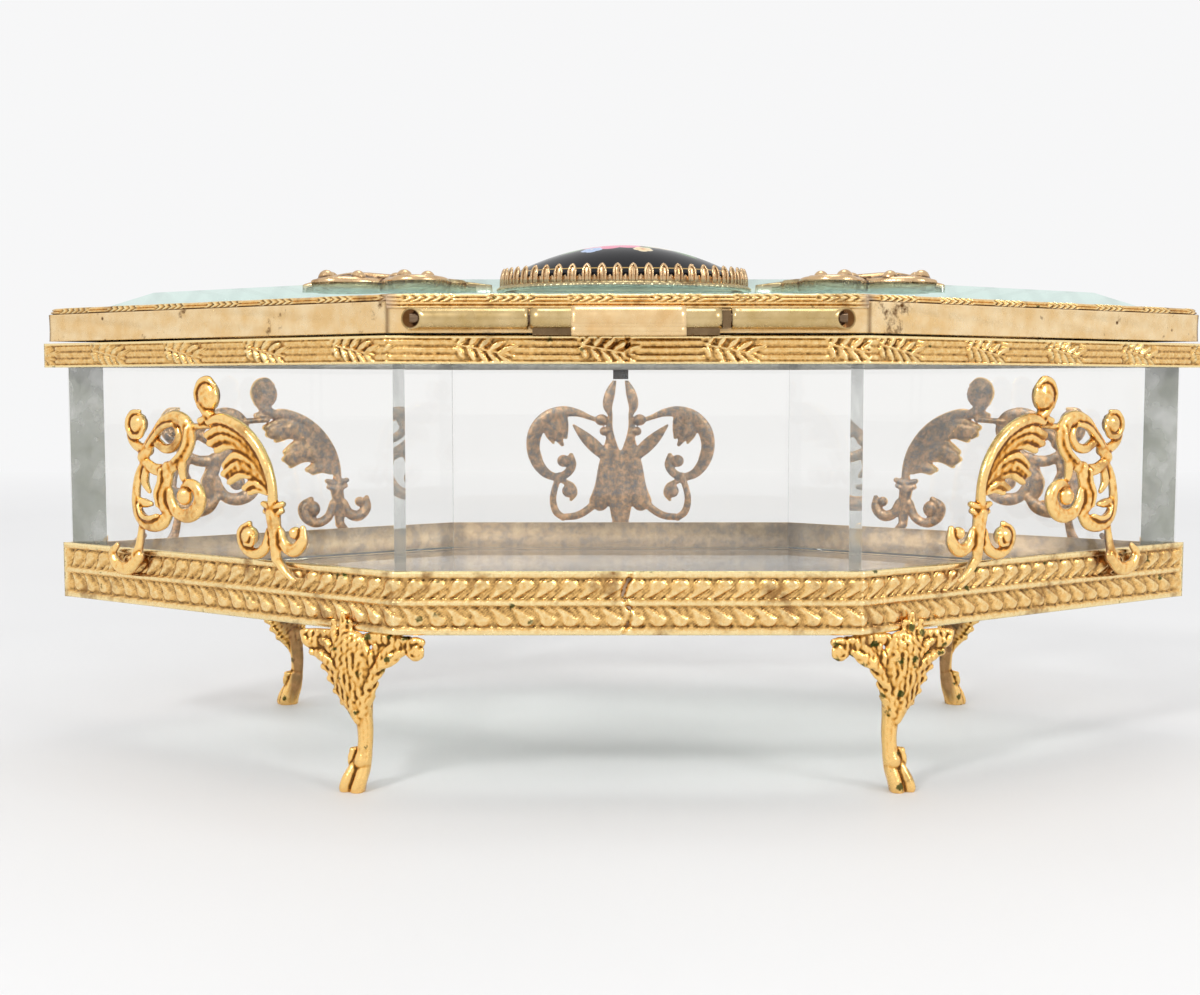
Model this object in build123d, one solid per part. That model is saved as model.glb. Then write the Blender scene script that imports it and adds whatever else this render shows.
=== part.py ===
"""Glass casket: a six-sided glass box on four hoofed legs, with a hinged bevelled lid.

Millimetres, +Z up, the floor at Z = 0. The plan is a long hexagon with its points on X.
The hinge is on the -Y side and the front palmette on the +Y side.
"""
from build123d import *
from math import atan2, cos, degrees, pi, sin, tan
import os

os.makedirs("parts", exist_ok=True)

# Plan of the base strip's outer face
base_half_length = 107.2
base_half_centre = 38.0
base_half_depth = 45.7

# Base strip and floor
leg_height = 26.4
strip_height = 10.4
strip_wall = 0.9
strip_fillet = 0.4
fillet_height = 1.25
flange_width = 5.0
flange_thickness = 0.8
floor_thickness = 4.0

# Glass walls
wall_thickness = 5.0
wall_show = 33.3

# Upper rim
rim_overhang = 2.4
rim_height = 4.5
rim_web = 0.8
rim_reeds = 3
reed_depth = 0.35

# Lid
lid_gap = 0.4
lid_inset = 0.6
band_height = 4.4
band_wall = 0.9
shelf_rise = 1.0
shelf_thickness = 0.6
shelf_width = 3.2
lip_height = 1.8
lip_width = 2.2
lip_inset = 0.2
glass_edge = 2.0
glass_rise = 7.6
glass_bevel = 10.0
glass_clearance = 0.1

# Hinge
tube_radius = 1.7
pin_radius = 0.8
pin_clearance = 0.05
strap_wall = 0.3
strap_half_width = 9.0
solder_clearance = 0.03
swing_clearance = 0.25
body_tube_left = 15.4
body_tube_right = 14.6
tube_gap_left = 0.4
tube_gap_right = 1.6
lid_tube_reach = 36.0
foot_plate = 0.25
foot_depth = 3.0
saddle_height = 2.0

# Medallion and its bezel
oval_half_length = 22.4
oval_half_width = 17.4
oval_edge = 2.6
dome_rise = 6.2
bezel_clearance = 0.1
bezel_wall = 0.7
bezel_height = 2.2
bead_flange = 0.8
bead_height = 1.0
prong_count = 52
prong_radius = 0.4
prong_height = 3.9

# Castings
casting_depth = 2.4
leaf_depth = 1.6
ball_flatness = 0.8
scroll_shift = -1.4
leg_depth = 3.0
leg_back_from_corner = 5.9
leg_back_turn = 12.0
leg_front_from_end = 38.5
leg_front_turn = 0.0
leg_proud = 1.0
volute_radius = 1.7
lid_ornament_start = 25.2
lid_ornament_depth = 3.2
lid_ornament_eye_height = 4.2
lid_ornament_eye_radius = 1.3

# Front catch
keeper_width = 3.3
keeper_depth = 2.0
keeper_drop = 2.0
tab_width = 9.0
tab_thickness = 1.2

# Heights of the seats, from the floor up
strip_top = leg_height + strip_height
floor_bottom = leg_height + flange_thickness
floor_top = floor_bottom + floor_thickness
rim_bottom = strip_top + wall_show
rim_top = rim_bottom + rim_height
glass_top = rim_top - rim_web
lid_bottom = rim_top + lid_gap
band_top = lid_bottom + band_height
shelf_bottom = lid_bottom + shelf_rise
shelf_top = shelf_bottom + shelf_thickness
lip_top = band_top + lip_height
lid_glass_top = shelf_top + glass_rise

# Insets of the plan, from the base strip's outer face
side_angle = atan2(base_half_depth, base_half_length - base_half_centre)
glass_inset = strip_wall
inside_inset = glass_inset + wall_thickness
rim_inset = glass_inset - rim_overhang
lid_outer_inset = rim_inset + lid_inset
lid_glass_inset = lid_outer_inset + band_wall + glass_clearance

# Hinge axis
sleeve_radius = tube_radius + solder_clearance + strap_wall
axis_offset = sleeve_radius + swing_clearance
lid_back = base_half_depth - lid_outer_inset
axis_y = -(lid_back + axis_offset)
axis_z = lid_bottom + band_height / 2
back_reach = sleeve_radius - axis_y


def outline(inset):
    """Corners of the plan hexagon, each side moved inwards by inset."""
    centre = base_half_centre - inset * tan(side_angle / 2)
    length = base_half_length - inset / sin(side_angle)
    depth = base_half_depth - inset
    return [(-centre, -depth), (centre, -depth), (length, 0), (centre, depth), (-centre, depth), (-length, 0)]


def slab(inset, bottom, top):
    """Hexagonal plate between two heights."""
    face = Polygon(*outline(inset), align=None)
    return extrude(Pos(0, 0, bottom) * face, amount=top - bottom)


def moulding(profile):
    """Hexagonal body whose side follows the (inset, height) points of profile."""
    sections = [Pos(0, 0, z) * Polygon(*outline(inset), align=None) for inset, z in profile]
    return loft(sections, ruled=True)


def write(name, shape):
    """Save one piece under its node name."""
    export_step(shape, f"parts/{name}.step")


def share_of(values, share):
    """Value at a share of the way along an evenly spaced list."""
    place = share * (len(values) - 1)
    index = min(int(place), len(values) - 2)
    return values[index] + (values[index + 1] - values[index]) * (place - index)


stroke_steps = 3


def stroke(points, widths, depth):
    """Flat tapered band about the curve through points, depth thick about the drawing plane."""
    line = Spline(*points)
    steps = stroke_steps * len(points)
    left = []
    right = []
    for step in range(steps + 1):
        share = step / steps
        at = line.position_at(share)
        run = line.tangent_at(share)
        half = share_of(widths, share) / 2
        side = Vector(-run.Y, run.X) * half
        left.append(at + side)
        right.append(at - side)
    right.reverse()
    border = Spline(*left) + Line(left[-1], right[0]) + Spline(*right) + Line(right[-1], left[0])
    face = make_face(border)
    return extrude(face, amount=depth / 2, both=True)


def ball(x, y, radius, depth):
    """Scroll eye: a ball cut flat, front and back, to fit between the casting's faces."""
    return Pos(x, y) * (Sphere(radius) & Box(2 * radius, 2 * radius, depth * ball_flatness))


def bead(x, y, radius, depth):
    """Round button as thick as the casting."""
    return Pos(x, y) * Cylinder(radius, depth)


def joined(pieces):
    """One casting from overlapping pieces."""
    whole = pieces[0]
    for piece in pieces[1:]:
        whole = whole + piece
    return whole


def mirror_x(shape):
    """Copy across the casket's middle, left for right."""
    return mirror(shape, about=Plane.YZ)


def mirror_y(shape):
    """Copy across the casket's length, front for back."""
    return mirror(shape, about=Plane.XZ)


# Glass walls, mitred at the corners and standing on the floor
wall_names = [
    "glass_back", "glass_back_right", "glass_front_right",
    "glass_front", "glass_front_left", "glass_back_left",
]
outer_corners = outline(glass_inset)
inner_corners = outline(inside_inset)
for side, wall_name in enumerate(wall_names):
    following = (side + 1) % len(wall_names)
    quad = [outer_corners[side], outer_corners[following], inner_corners[following], inner_corners[side]]
    wall = extrude(Pos(0, 0, floor_top) * Polygon(*quad, align=None), amount=glass_top - floor_top)
    write(wall_name, wall)

write("glass_floor", slab(glass_inset, floor_bottom, floor_top))

# Base strip: plain fillets at the edges and the middle, two hollow fields for the gadroons
field_height = strip_height / 2
half_fillet = fillet_height / 2
strip_middle = leg_height + field_height
strip_profile = [
    (0, leg_height),
    (0, leg_height + fillet_height),
    (strip_fillet, leg_height + fillet_height + strip_fillet),
    (strip_fillet, strip_middle - half_fillet - strip_fillet),
    (0, strip_middle - half_fillet),
    (0, strip_middle + half_fillet),
    (strip_fillet, strip_middle + half_fillet + strip_fillet),
    (strip_fillet, strip_top - fillet_height - strip_fillet),
    (0, strip_top - fillet_height),
    (0, strip_top),
]
base_frame = moulding(strip_profile)
base_frame = base_frame - slab(glass_inset, floor_bottom, strip_top + 1)
base_frame = base_frame - slab(glass_inset + flange_width, leg_height - 1, floor_bottom + 1)
write("base_frame", base_frame)

# Upper rim: reeded strip outside the glass with a web over its top edge
reed_pitch = (rim_height - 2 * rim_web) / rim_reeds
rim_profile = [(rim_inset, rim_bottom), (rim_inset, rim_bottom + rim_web)]
for reed in range(rim_reeds):
    reed_start = rim_bottom + rim_web + reed * reed_pitch
    rim_profile.append((rim_inset + reed_depth, reed_start + reed_pitch * 0.1))
    rim_profile.append((rim_inset, reed_start + reed_pitch * 0.4))
    rim_profile.append((rim_inset, reed_start + reed_pitch * 0.7))
rim_profile.append((rim_inset + reed_depth, rim_top - rim_web))
rim_profile.append((rim_inset, rim_top - rim_web * 0.7))
rim_profile.append((rim_inset, rim_top))
top_rim = moulding(rim_profile)
top_rim = top_rim - slab(glass_inset, rim_bottom - 1, glass_top)
top_rim = top_rim - slab(inside_inset, glass_top - 1, rim_top + 1)
write("top_rim", top_rim)

# Lid frame: plain band with a shelf inside for the glass and a rounded lip over its edge
lip_outer = lid_outer_inset + lip_inset
lid_profile = [
    (lid_outer_inset, lid_bottom),
    (lid_outer_inset, band_top),
    (lip_outer, band_top + lip_inset),
    (lip_outer, lip_top - 2 * lip_inset),
    (lip_outer + 2 * lip_inset, lip_top),
]
lid_frame = moulding(lid_profile)
lid_frame = lid_frame - slab(lid_outer_inset + band_wall, shelf_top, band_top)
lid_frame = lid_frame - slab(lid_outer_inset + band_wall, lid_bottom - 1, shelf_bottom)
lid_frame = lid_frame - slab(lid_outer_inset + band_wall + shelf_width, shelf_bottom - 1, shelf_top + 1)
lid_frame = lid_frame - slab(lip_outer + lip_width, band_top - 1, lip_top + 1)
write("lid_frame", lid_frame)

# Lid glass with its broad bevel
edge_top = shelf_top + glass_edge
bevel_inset = lid_glass_inset + glass_bevel
lid_glass = moulding([(lid_glass_inset, shelf_top), (lid_glass_inset, edge_top), (bevel_inset, lid_glass_top)])
write("lid_glass", lid_glass)


# Hinge
def hinge_tube(start, end, bore):
    """Tube along the hinge axis between two X places."""
    length = end - start
    solid = Cylinder(tube_radius, length) - Cylinder(bore, 2 * length)
    return Pos((start + end) / 2, axis_y, axis_z) * Rot(0, 90, 0) * solid


bore_radius = pin_radius + pin_clearance
rim_drop = axis_z - rim_top
foot_end = -(base_half_depth - rim_inset) + foot_depth


def foot(start, end):
    """Bracket under the hinge tube: a riser and a thin plate on the rim's top."""
    width = end - start
    middle = (start + end) / 2
    riser_inner = axis_y + tube_radius
    riser_outer = axis_y - tube_radius / 3
    riser = Pos(middle, (riser_inner + riser_outer) / 2, axis_z - rim_drop / 2)
    riser = riser * Box(width, riser_inner - riser_outer, rim_drop)
    plate = Pos(middle, (foot_end + riser_outer) / 2, rim_top + foot_plate / 2)
    plate = plate * Box(width, foot_end - riser_outer, foot_plate)
    return riser + plate


body_tube = hinge_tube(-body_tube_left, body_tube_right, bore_radius)
body_tube = body_tube + foot(-body_tube_left, -strap_half_width - solder_clearance)
body_tube = body_tube + foot(strap_half_width + solder_clearance, body_tube_right)
bore_cut = Cylinder(bore_radius, 4 * lid_tube_reach)
body_tube = body_tube - Pos(0, axis_y, axis_z) * Rot(0, 90, 0) * bore_cut
write("hinge_tube_body", body_tube)

strap_width = 2 * strap_half_width
sleeve = Cylinder(sleeve_radius, strap_width) - Cylinder(tube_radius + solder_clearance, 2 * strap_width)
strap = Pos(0, axis_y, axis_z) * Rot(0, 90, 0) * sleeve
front_plate = Pos(0, axis_y - sleeve_radius + strap_wall / 2, axis_z - rim_drop / 2)
strap = strap + front_plate * Box(strap_width, strap_wall, rim_drop)
web_depth = foot_end - (axis_y - sleeve_radius)
web_plate = Pos(0, axis_y - sleeve_radius + web_depth / 2, rim_top + foot_plate / 2)
strap = strap + web_plate * Box(strap_width, web_depth, foot_plate)
write("hinge_strap", strap)


def lid_tube(inner):
    """Right-hand tube of the lid from inner outwards, its end cut on a slant, with a saddle to the band."""
    solid = hinge_tube(inner, lid_tube_reach, bore_radius)
    saddle_depth = -lid_back - axis_y
    middle = (inner + lid_tube_reach) / 2
    saddle_length = lid_tube_reach - inner - 2 * tube_radius
    saddle = Pos(middle, axis_y + saddle_depth / 2, axis_z) * Box(saddle_length, saddle_depth, saddle_height)
    solid = solid + saddle
    solid = solid - Pos(0, axis_y, axis_z) * Rot(0, 90, 0) * bore_cut
    slant = Box(slant_size, slant_size, slant_size, align=(Align.MIN, Align.CENTER, Align.CENTER))
    return solid - Pos(lid_tube_reach - tube_radius, axis_y, axis_z) * Rot(0, 0, -45) * slant


slant_size = 6 * tube_radius
write("hinge_tube_lid_left", mirror_x(lid_tube(body_tube_left + tube_gap_left)))
write("hinge_tube_lid_right", lid_tube(body_tube_right + tube_gap_right))
pin_length = 2 * (lid_tube_reach - tube_radius)
write("hinge_pin", Pos(0, axis_y, axis_z) * Rot(0, 90, 0) * Cylinder(pin_radius, pin_length))

# Medallion: an oval dome lying on the lid glass inside its pronged bezel
oval_share = oval_half_width / oval_half_length


def oval(grow, height):
    """Oval plate, its edge grown by a margin."""
    face = Ellipse(oval_half_length + grow, oval_half_width + grow)
    return extrude(face, amount=height)


dome_radius = (oval_half_length**2 + dome_rise**2) / (2 * dome_rise)
dome_round = Pos(0, 0, oval_edge + dome_rise - dome_radius) * Sphere(dome_radius)
dome_round = dome_round & Pos(0, 0, oval_edge) * Cylinder(
    2 * oval_half_length, 2 * dome_rise, align=(Align.CENTER, Align.CENTER, Align.MIN)
)
dome = scale(dome_round, by=(1, oval_share, 1))
medallion = oval(0, oval_edge) + dome
write("medallion", Pos(0, 0, lid_glass_top) * medallion)

bezel = oval(bezel_clearance + bezel_wall, bezel_height) + oval(bezel_clearance + bezel_wall + bead_flange, bead_height)
prong_place = bezel_clearance + bezel_wall
for prong in range(prong_count):
    turn = 2 * pi * prong / prong_count
    prong_x = (oval_half_length + prong_place) * cos(turn)
    prong_y = (oval_half_width + prong_place) * sin(turn)
    bezel = bezel + Pos(prong_x, prong_y, prong_height / 2) * Cylinder(prong_radius, prong_height)
bezel = bezel - Pos(0, 0, -1) * oval(bezel_clearance, prong_height + 2)
write("medallion_bezel", Pos(0, 0, lid_glass_top) * bezel)

# Scroll castings: drawn with x along the side from the corner and y up from the strip's top
leaf_outline = [
    (40.7, 24.6), (36.0, 25.0), (31.4, 23.0), (28.4, 19.9), (25.8, 16.1), (24.7, 9.9), (26.9, 9.9),
    (27.9, 13.1), (30.3, 12.5), (32.6, 12.4), (33.3, 14.0), (36.4, 13.1), (37.9, 15.1), (37.7, 17.5),
    (36.4, 18.6), (38.7, 18.6), (41.5, 19.9), (42.2, 22.4),
]
leaf = extrude(make_face(Polyline(*leaf_outline, close=True)), amount=leaf_depth / 2, both=True)
scroll_pieces = [
    leaf,
    stroke([(40.7, 24.4), (36.0, 24.0), (31.8, 22.0), (28.8, 19.0), (26.6, 15.1), (25.8, 9.6)],
           [1.2, 1.6, 1.5, 1.4, 1.3, 1.6], casting_depth),
    stroke([(43.6, 28.4), (43.5, 26.6), (42.0, 25.0), (39.1, 24.2)], [1.2, 1.4, 1.6, 1.4], leaf_depth),
    ball(41.9, 28.6, 2.6, casting_depth),
    stroke([(47.2, 23.5), (44.2, 23.6), (41.0, 23.6)], [1.3, 1.3, 1.3], leaf_depth),
    bead(25.9, 9.8, 2.0, casting_depth),
    stroke([(26.0, 9.6), (25.8, 5.6), (25.5, 2.7), (25.3, -2.2)], [2.6, 2.8, 2.2, 1.6], casting_depth),
    ball(32.0, 4.6, 2.1, casting_depth),
    stroke([(32.2, 3.6), (30.2, 1.6), (28.0, 1.6), (25.6, 3.4)], [1.2, 1.5, 1.6, 1.4], leaf_depth),
    stroke([(25.0, 3.6), (22.0, 1.9), (19.5, 3.4), (19.5, 6.0)], [1.6, 2.0, 2.2, 1.2], leaf_depth),
    ball(60.9, 23.2, 2.2, casting_depth),
    stroke([(62.7, 22.4), (61.8, 20.2), (58.6, 18.8)], [1.2, 1.5, 1.8], leaf_depth),
    stroke([(59.9, 17.9), (56.9, 20.6), (54.0, 23.4), (51.1, 24.6), (48.2, 23.6), (47.4, 21.0), (48.9, 18.2),
            (52.0, 16.4), (55.4, 15.5), (58.6, 16.6)],
           [2.0, 2.2, 2.2, 2.2, 2.4, 2.6, 2.8, 2.8, 2.2, 1.6], casting_depth),
    stroke([(52.4, 16.6), (52.6, 13.0), (53.7, 10.2), (53.4, 6.8)], [2.6, 2.4, 3.0, 3.0], casting_depth),
    stroke([(53.6, 6.6), (56.0, 5.7), (59.0, 6.2), (61.0, 8.2), (61.3, 11.2), (60.7, 14.1), (59.2, 17.2)],
           [2.4, 2.2, 2.0, 1.8, 1.7, 1.6, 1.8], casting_depth),
    stroke([(52.2, 9.6), (49.4, 7.7), (46.4, 8.0), (44.6, 10.1), (45.0, 12.4), (47.0, 13.0)],
           [1.8, 2.2, 2.6, 2.4, 2.0, 1.6], casting_depth),
    ball(47.2, 11.8, 1.6, casting_depth),
    stroke([(48.4, 18.2), (48.5, 15.1), (47.4, 12.6)], [1.8, 1.6, 1.4], leaf_depth),
    stroke([(59.2, 17.0), (58.8, 13.9), (58.3, 12.2)], [1.6, 1.8, 1.4], leaf_depth),
    stroke([(60.4, 6.6), (60.5, 2.6), (61.0, -0.8)], [1.4, 1.6, 2.0], leaf_depth),
    stroke([(60.6, 0.6), (61.8, -1.8), (64.6, -2.6), (67.2, -1.4), (67.4, 0.6)], [2.4, 2.2, 1.9, 1.6, 1.2],
           casting_depth),
]
scroll = joined(scroll_pieces)
corner = Vector(base_half_centre, -base_half_depth, strip_top)
along = Vector(cos(side_angle), sin(side_angle), 0)
outward = Vector(sin(side_angle), -cos(side_angle), 0)
scroll_origin = corner + along * scroll_shift + outward * (casting_depth / 2)
scroll_plane = Plane(origin=scroll_origin, x_dir=along, z_dir=outward)
scroll_right = scroll_plane.location * scroll
write("scroll_back_right", scroll_right)
write("scroll_back_left", mirror_x(scroll_right))
write("scroll_front_right", mirror_y(scroll_right))
write("scroll_front_left", mirror_x(mirror_y(scroll_right)))

# Front palmette: its right half is drawn and mirrored, x from its middle and y from the strip's top
palmette_half = [
    stroke([(6.4, 4.0), (4.6, 8.6), (3.2, 13.1), (2.6, 17.6), (2.8, 22.2), (2.2, 26.1), (1.1, 30.7)],
           [1.6, 4.2, 4.6, 3.0, 1.9, 2.2, 0.8], casting_depth),
    stroke([(0.6, 0.2), (1.4, 4.6), (1.8, 10.2), (2.2, 15.0)], [1.6, 3.4, 3.4, 2.0], leaf_depth),
    stroke([(3.4, 14.1), (6.6, 16.7), (10.2, 20.5)], [3.0, 3.2, 0.8], leaf_depth),
    ball(5.0, 22.4, 1.3, casting_depth),
    stroke([(2.6, 22.0), (6.8, 22.8), (9.4, 23.6), (12.6, 23.6), (16.2, 22.4), (18.6, 19.9), (19.4, 16.7),
            (18.8, 13.3), (17.0, 10.9), (14.9, 9.9), (12.4, 10.5), (10.6, 12.4), (10.6, 14.8)],
           [1.0, 0.9, 1.4, 1.9, 2.0, 2.2, 2.4, 2.4, 1.6, 1.0, 1.8, 1.8, 1.4], casting_depth),
    ball(12.0, 15.0, 1.6, casting_depth),
    stroke([(13.3, 23.2), (14.0, 20.2), (13.0, 17.3)], [3.4, 3.0, 0.9], leaf_depth),
    stroke([(13.6, 10.2), (13.4, 8.8), (15.1, 6.6), (15.1, 3.8), (13.6, 1.6), (11.6, 0.6)],
           [1.2, 1.2, 1.3, 1.3, 1.3, 1.5], casting_depth),
    ball(11.9, 7.0, 1.6, casting_depth),
    stroke([(13.5, 9.0), (12.8, 8.6), (12.2, 7.6)], [1.0, 1.0, 1.0], leaf_depth),
    stroke([(4.2, 5.2), (6.8, 3.0), (9.6, 1.4), (12.2, 1.0)], [1.6, 1.6, 1.5, 1.4], leaf_depth),
]
palmette_side = joined(palmette_half)
palmette_foot_width = 4.6
palmette_foot_height = 6.0
palmette_foot_middle = 0.8
palmette_foot = Pos(0, palmette_foot_middle) * Box(palmette_foot_width, palmette_foot_height, casting_depth)
palmette = palmette_side + mirror(palmette_side, about=Plane.YZ) + palmette_foot
palmette_origin = Vector(0, base_half_depth + casting_depth / 2, strip_top)
palmette_plane = Plane(origin=palmette_origin, x_dir=(-1, 0, 0), z_dir=(0, 1, 0))
write("front_palmette", palmette_plane.location * palmette)

# Legs: drawn with x along the side and y up, at the height that the drawing was made
drawn_leg_height = 25.8
knee_outline = [
    (-1.7, 11.4), (-3.6, 14.8), (-5.4, 17.6), (-6.8, 19.8), (-8.6, 21.8), (-10.6, 22.4), (-11.4, 25.8),
    (7.6, 25.8), (10.2, 25.4), (8.6, 22.2), (6.6, 20.6), (3.8, 20.0), (3.4, 18.6), (2.2, 15.0), (1.9, 11.4),
]
volute_x = 10.2
volute_drop = 0.5

# Leg sections: middle x, middle y, height as drawn, half-width, half-depth
knee_sections = [(0.1, 0, 11.0, 1.7, 1.9), (-0.6, 0.3, 18.1, 3.6, 2.4), (-1.0, 0, 25.8, 4.6, 1.6)]
shank_sections = [(0.1, 0, 13.0, 1.5, 1.5), (0.2, 0, 9.6, 1.35, 1.35), (0.3, -0.2, 6.4, 1.45, 1.55)]
hoof_sections = [(0.3, -0.2, 6.4, 1.45, 1.55), (0.4, -1.6, 2.9, 1.8, 1.7), (0.5, -2.6, 0, 2.1, 1.7)]


def leg():
    """One casting, its drawing scaled in height to the leg's own."""
    stretch = leg_height / drawn_leg_height
    knee_points = [(x, z * stretch) for x, z in knee_outline]
    knee = extrude(make_face(Polyline(*knee_points, close=True)), amount=leg_depth / 2, both=True)
    volute = Pos(volute_x, leg_height - volute_radius - volute_drop) * Cylinder(volute_radius, leg_depth)
    casting = Rot(90, 0, 0) * (knee + volute)
    for sections in [knee_sections, shank_sections, hoof_sections]:
        rings = [Pos(x, y, z * stretch) * Ellipse(width, depth) for x, y, z, width, depth in sections]
        casting = casting + loft(rings)
    return Pos(0, leg_depth / 2 - leg_proud, 0) * casting


def placed_leg(x, turn):
    """Right-hand leg on the hinge side, its knee a little proud of the strip."""
    share = (x - base_half_centre) / (base_half_length - base_half_centre)
    y = -base_half_depth * (1 - share)
    return Pos(x, y, 0) * Rot(0, 0, degrees(side_angle) - turn) * mirror_x(leg())


leg_back = placed_leg(base_half_centre + leg_back_from_corner, leg_back_turn)
leg_front = mirror_y(placed_leg(base_half_length - leg_front_from_end, leg_front_turn))
write("leg_back_right", leg_back)
write("leg_back_left", mirror_x(leg_back))
write("leg_front_right", leg_front)
write("leg_front_left", mirror_x(leg_front))

# Lid ornaments: flat scrolls on the glass, drawn beside the medallion
ornament_half = [
    stroke([(0, 0.4), (4.0, 0.6), (8.0, 0.6)], [1.2, 1.4, 2.0], lid_ornament_depth),
    stroke([(6.0, 0.8), (9.6, 3.4), (13.6, 4.6), (17.4, 3.6), (18.4, 1.8)], [1.4, 1.8, 2.0, 1.8, 1.2],
           lid_ornament_depth),
    stroke([(8.4, 2.4), (8.8, 6.0), (12.0, 8.6), (15.6, 8.0), (16.6, 5.6)], [1.4, 1.7, 1.8, 1.7, 1.2],
           lid_ornament_depth),
    stroke([(13.0, 0), (22.0, 0.3), (33.0, 0.1)], [3.0, 3.2, 1.0], lid_ornament_depth),
    stroke([(20.0, 0.6), (24.0, 3.2), (28.0, 4.0), (30.6, 2.6)], [1.4, 1.8, 1.8, 1.2], lid_ornament_depth),
]
ornament_eyes = [(16.6, 2.4), (15.0, 6.0), (29.4, 2.4)]
eye_lift = (lid_ornament_eye_height - lid_ornament_depth) / 2
for eye_x, eye_y in ornament_eyes:
    eye = Cylinder(lid_ornament_eye_radius, lid_ornament_eye_height)
    ornament_half.append(Pos(eye_x, eye_y, eye_lift) * eye)
ornament_side = joined(ornament_half)
ornament = ornament_side + mirror(ornament_side, about=Plane.XZ)
ornament_right = Pos(lid_ornament_start, 0, lid_glass_top + lid_ornament_depth / 2) * ornament
write("lid_ornament_right", ornament_right)
write("lid_ornament_left", mirror_x(ornament_right))

# Front catch: keeper under the rim, thumb tab on the lid
keeper_middle = base_half_depth - glass_inset + keeper_depth / 2
keeper = Pos(0, keeper_middle, rim_bottom - keeper_drop / 2) * Box(keeper_width, keeper_depth, keeper_drop)
write("catch_keeper", keeper)

tab_reach = back_reach - lid_back
tab_outline = [
    (-tab_width / 2, 0), (-tab_width / 2, tab_reach * 0.35), (-tab_width / 5, tab_reach * 0.75), (0, tab_reach),
    (tab_width / 5, tab_reach * 0.75), (tab_width / 2, tab_reach * 0.35), (tab_width / 2, 0),
]
tab_face = make_face(Polyline(*tab_outline, close=True))
tab = Pos(0, lid_back, lid_bottom + band_height / 2 - tab_thickness / 2) * extrude(tab_face, amount=tab_thickness)
write("thumb_tab", tab)
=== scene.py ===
"""Looks of the glass casket: stamped gilt strips, castings, thick glass and a painted medallion.

Sizes are in millimetres unless a name says otherwise, and are turned to metres when a mesh is made.
The hinge is on the -Y side, which the camera faces, and the front palmette is on the +Y side.
"""

import logging
import math
from dataclasses import dataclass, field
from enum import Enum
from typing import Callable

import bpy
import numpy as np
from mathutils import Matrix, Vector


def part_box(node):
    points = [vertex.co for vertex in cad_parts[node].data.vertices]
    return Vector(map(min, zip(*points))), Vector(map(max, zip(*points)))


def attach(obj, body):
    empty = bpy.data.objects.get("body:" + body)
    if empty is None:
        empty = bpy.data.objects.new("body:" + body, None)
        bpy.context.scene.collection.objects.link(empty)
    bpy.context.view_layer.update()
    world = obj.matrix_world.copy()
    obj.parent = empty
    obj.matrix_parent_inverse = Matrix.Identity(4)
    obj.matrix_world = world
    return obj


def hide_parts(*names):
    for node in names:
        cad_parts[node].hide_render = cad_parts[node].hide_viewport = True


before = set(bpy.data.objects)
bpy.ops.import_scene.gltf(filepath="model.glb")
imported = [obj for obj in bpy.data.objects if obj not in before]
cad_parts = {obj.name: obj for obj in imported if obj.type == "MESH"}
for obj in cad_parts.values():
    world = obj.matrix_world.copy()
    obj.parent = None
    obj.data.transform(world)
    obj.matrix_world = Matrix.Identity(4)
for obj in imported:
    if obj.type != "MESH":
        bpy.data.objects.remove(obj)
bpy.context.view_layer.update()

MM = 0.001
LOG = logging.getLogger("casket")
Mesh = tuple[np.ndarray, np.ndarray]


class Body(Enum):
    """Bodies that pieces ride on."""

    CASKET = "casket"
    LID = "lid"


class Slot(Enum):
    """Material slots of the record."""

    GILT = "gilt_brass"
    PLAIN = "plain_brass"
    GLASS = "clear_glass"
    LID_GLASS = "lid_glass"
    PLAQUE = "painted_plaque"
    PIN = "steel_pin"


# ---------------------------------------------------------------- meshes


def grid_faces(rows: int, columns: int, wrap_rows: bool = False, wrap_columns: bool = False) -> np.ndarray:
    """Quads of a grid of points stored row by row.

    Args:
        rows: number of rows of points.
        columns: number of points in a row.
        wrap_rows: join the last row to the first.
        wrap_columns: join the last column to the first.

    Returns:
        Array of quads, four indices each.
    """
    row = np.arange(rows if wrap_rows else rows - 1)[:, None]
    column = np.arange(columns if wrap_columns else columns - 1)[None, :]
    below, beside = (row + 1) % rows, (column + 1) % columns
    quads = [row * columns + column, row * columns + beside, below * columns + beside, below * columns + column]
    return np.stack([q + 0 * quads[0] for q in quads], axis=-1).reshape(-1, 4)


def joined(shells: list[Mesh]) -> Mesh:
    """One mesh of quads from several, with their faces renumbered."""
    starts = np.cumsum([0] + [len(points) for points, _ in shells[:-1]])
    return (
        np.concatenate([points for points, _ in shells]),
        np.concatenate([faces + start for (_, faces), start in zip(shells, starts)]),
    )


def as_mesh(name: str, points: np.ndarray, faces: np.ndarray, scale: float = MM) -> bpy.types.Mesh:
    """Blender mesh of quads, where a repeated last index marks a triangle.

    Args:
        name: the mesh's name.
        points: (n, 3) places.
        faces: (m, 4) indices.
        scale: factor from the points' unit to metres.

    Returns:
        The new mesh.
    """
    mesh = bpy.data.meshes.new(name)
    lists = [face[:3] if face[2] == face[3] else face for face in faces.tolist()]
    mesh.from_pydata((points * scale).tolist(), [], lists)
    mesh.validate()
    mesh.shade_smooth()
    return mesh


def shown(name: str, mesh: bpy.types.Mesh) -> bpy.types.Object:
    """Object at the origin that shows a mesh."""
    piece = bpy.data.objects.new(name, mesh)
    bpy.context.scene.collection.objects.link(piece)
    return piece


def evaluated(piece: bpy.types.Object) -> bpy.types.Mesh:
    """The piece's mesh with its modifiers applied, as a new mesh."""
    graph = bpy.context.evaluated_depsgraph_get()
    graph.update()
    return bpy.data.meshes.new_from_object(piece.evaluated_get(graph), depsgraph=graph)


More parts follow.
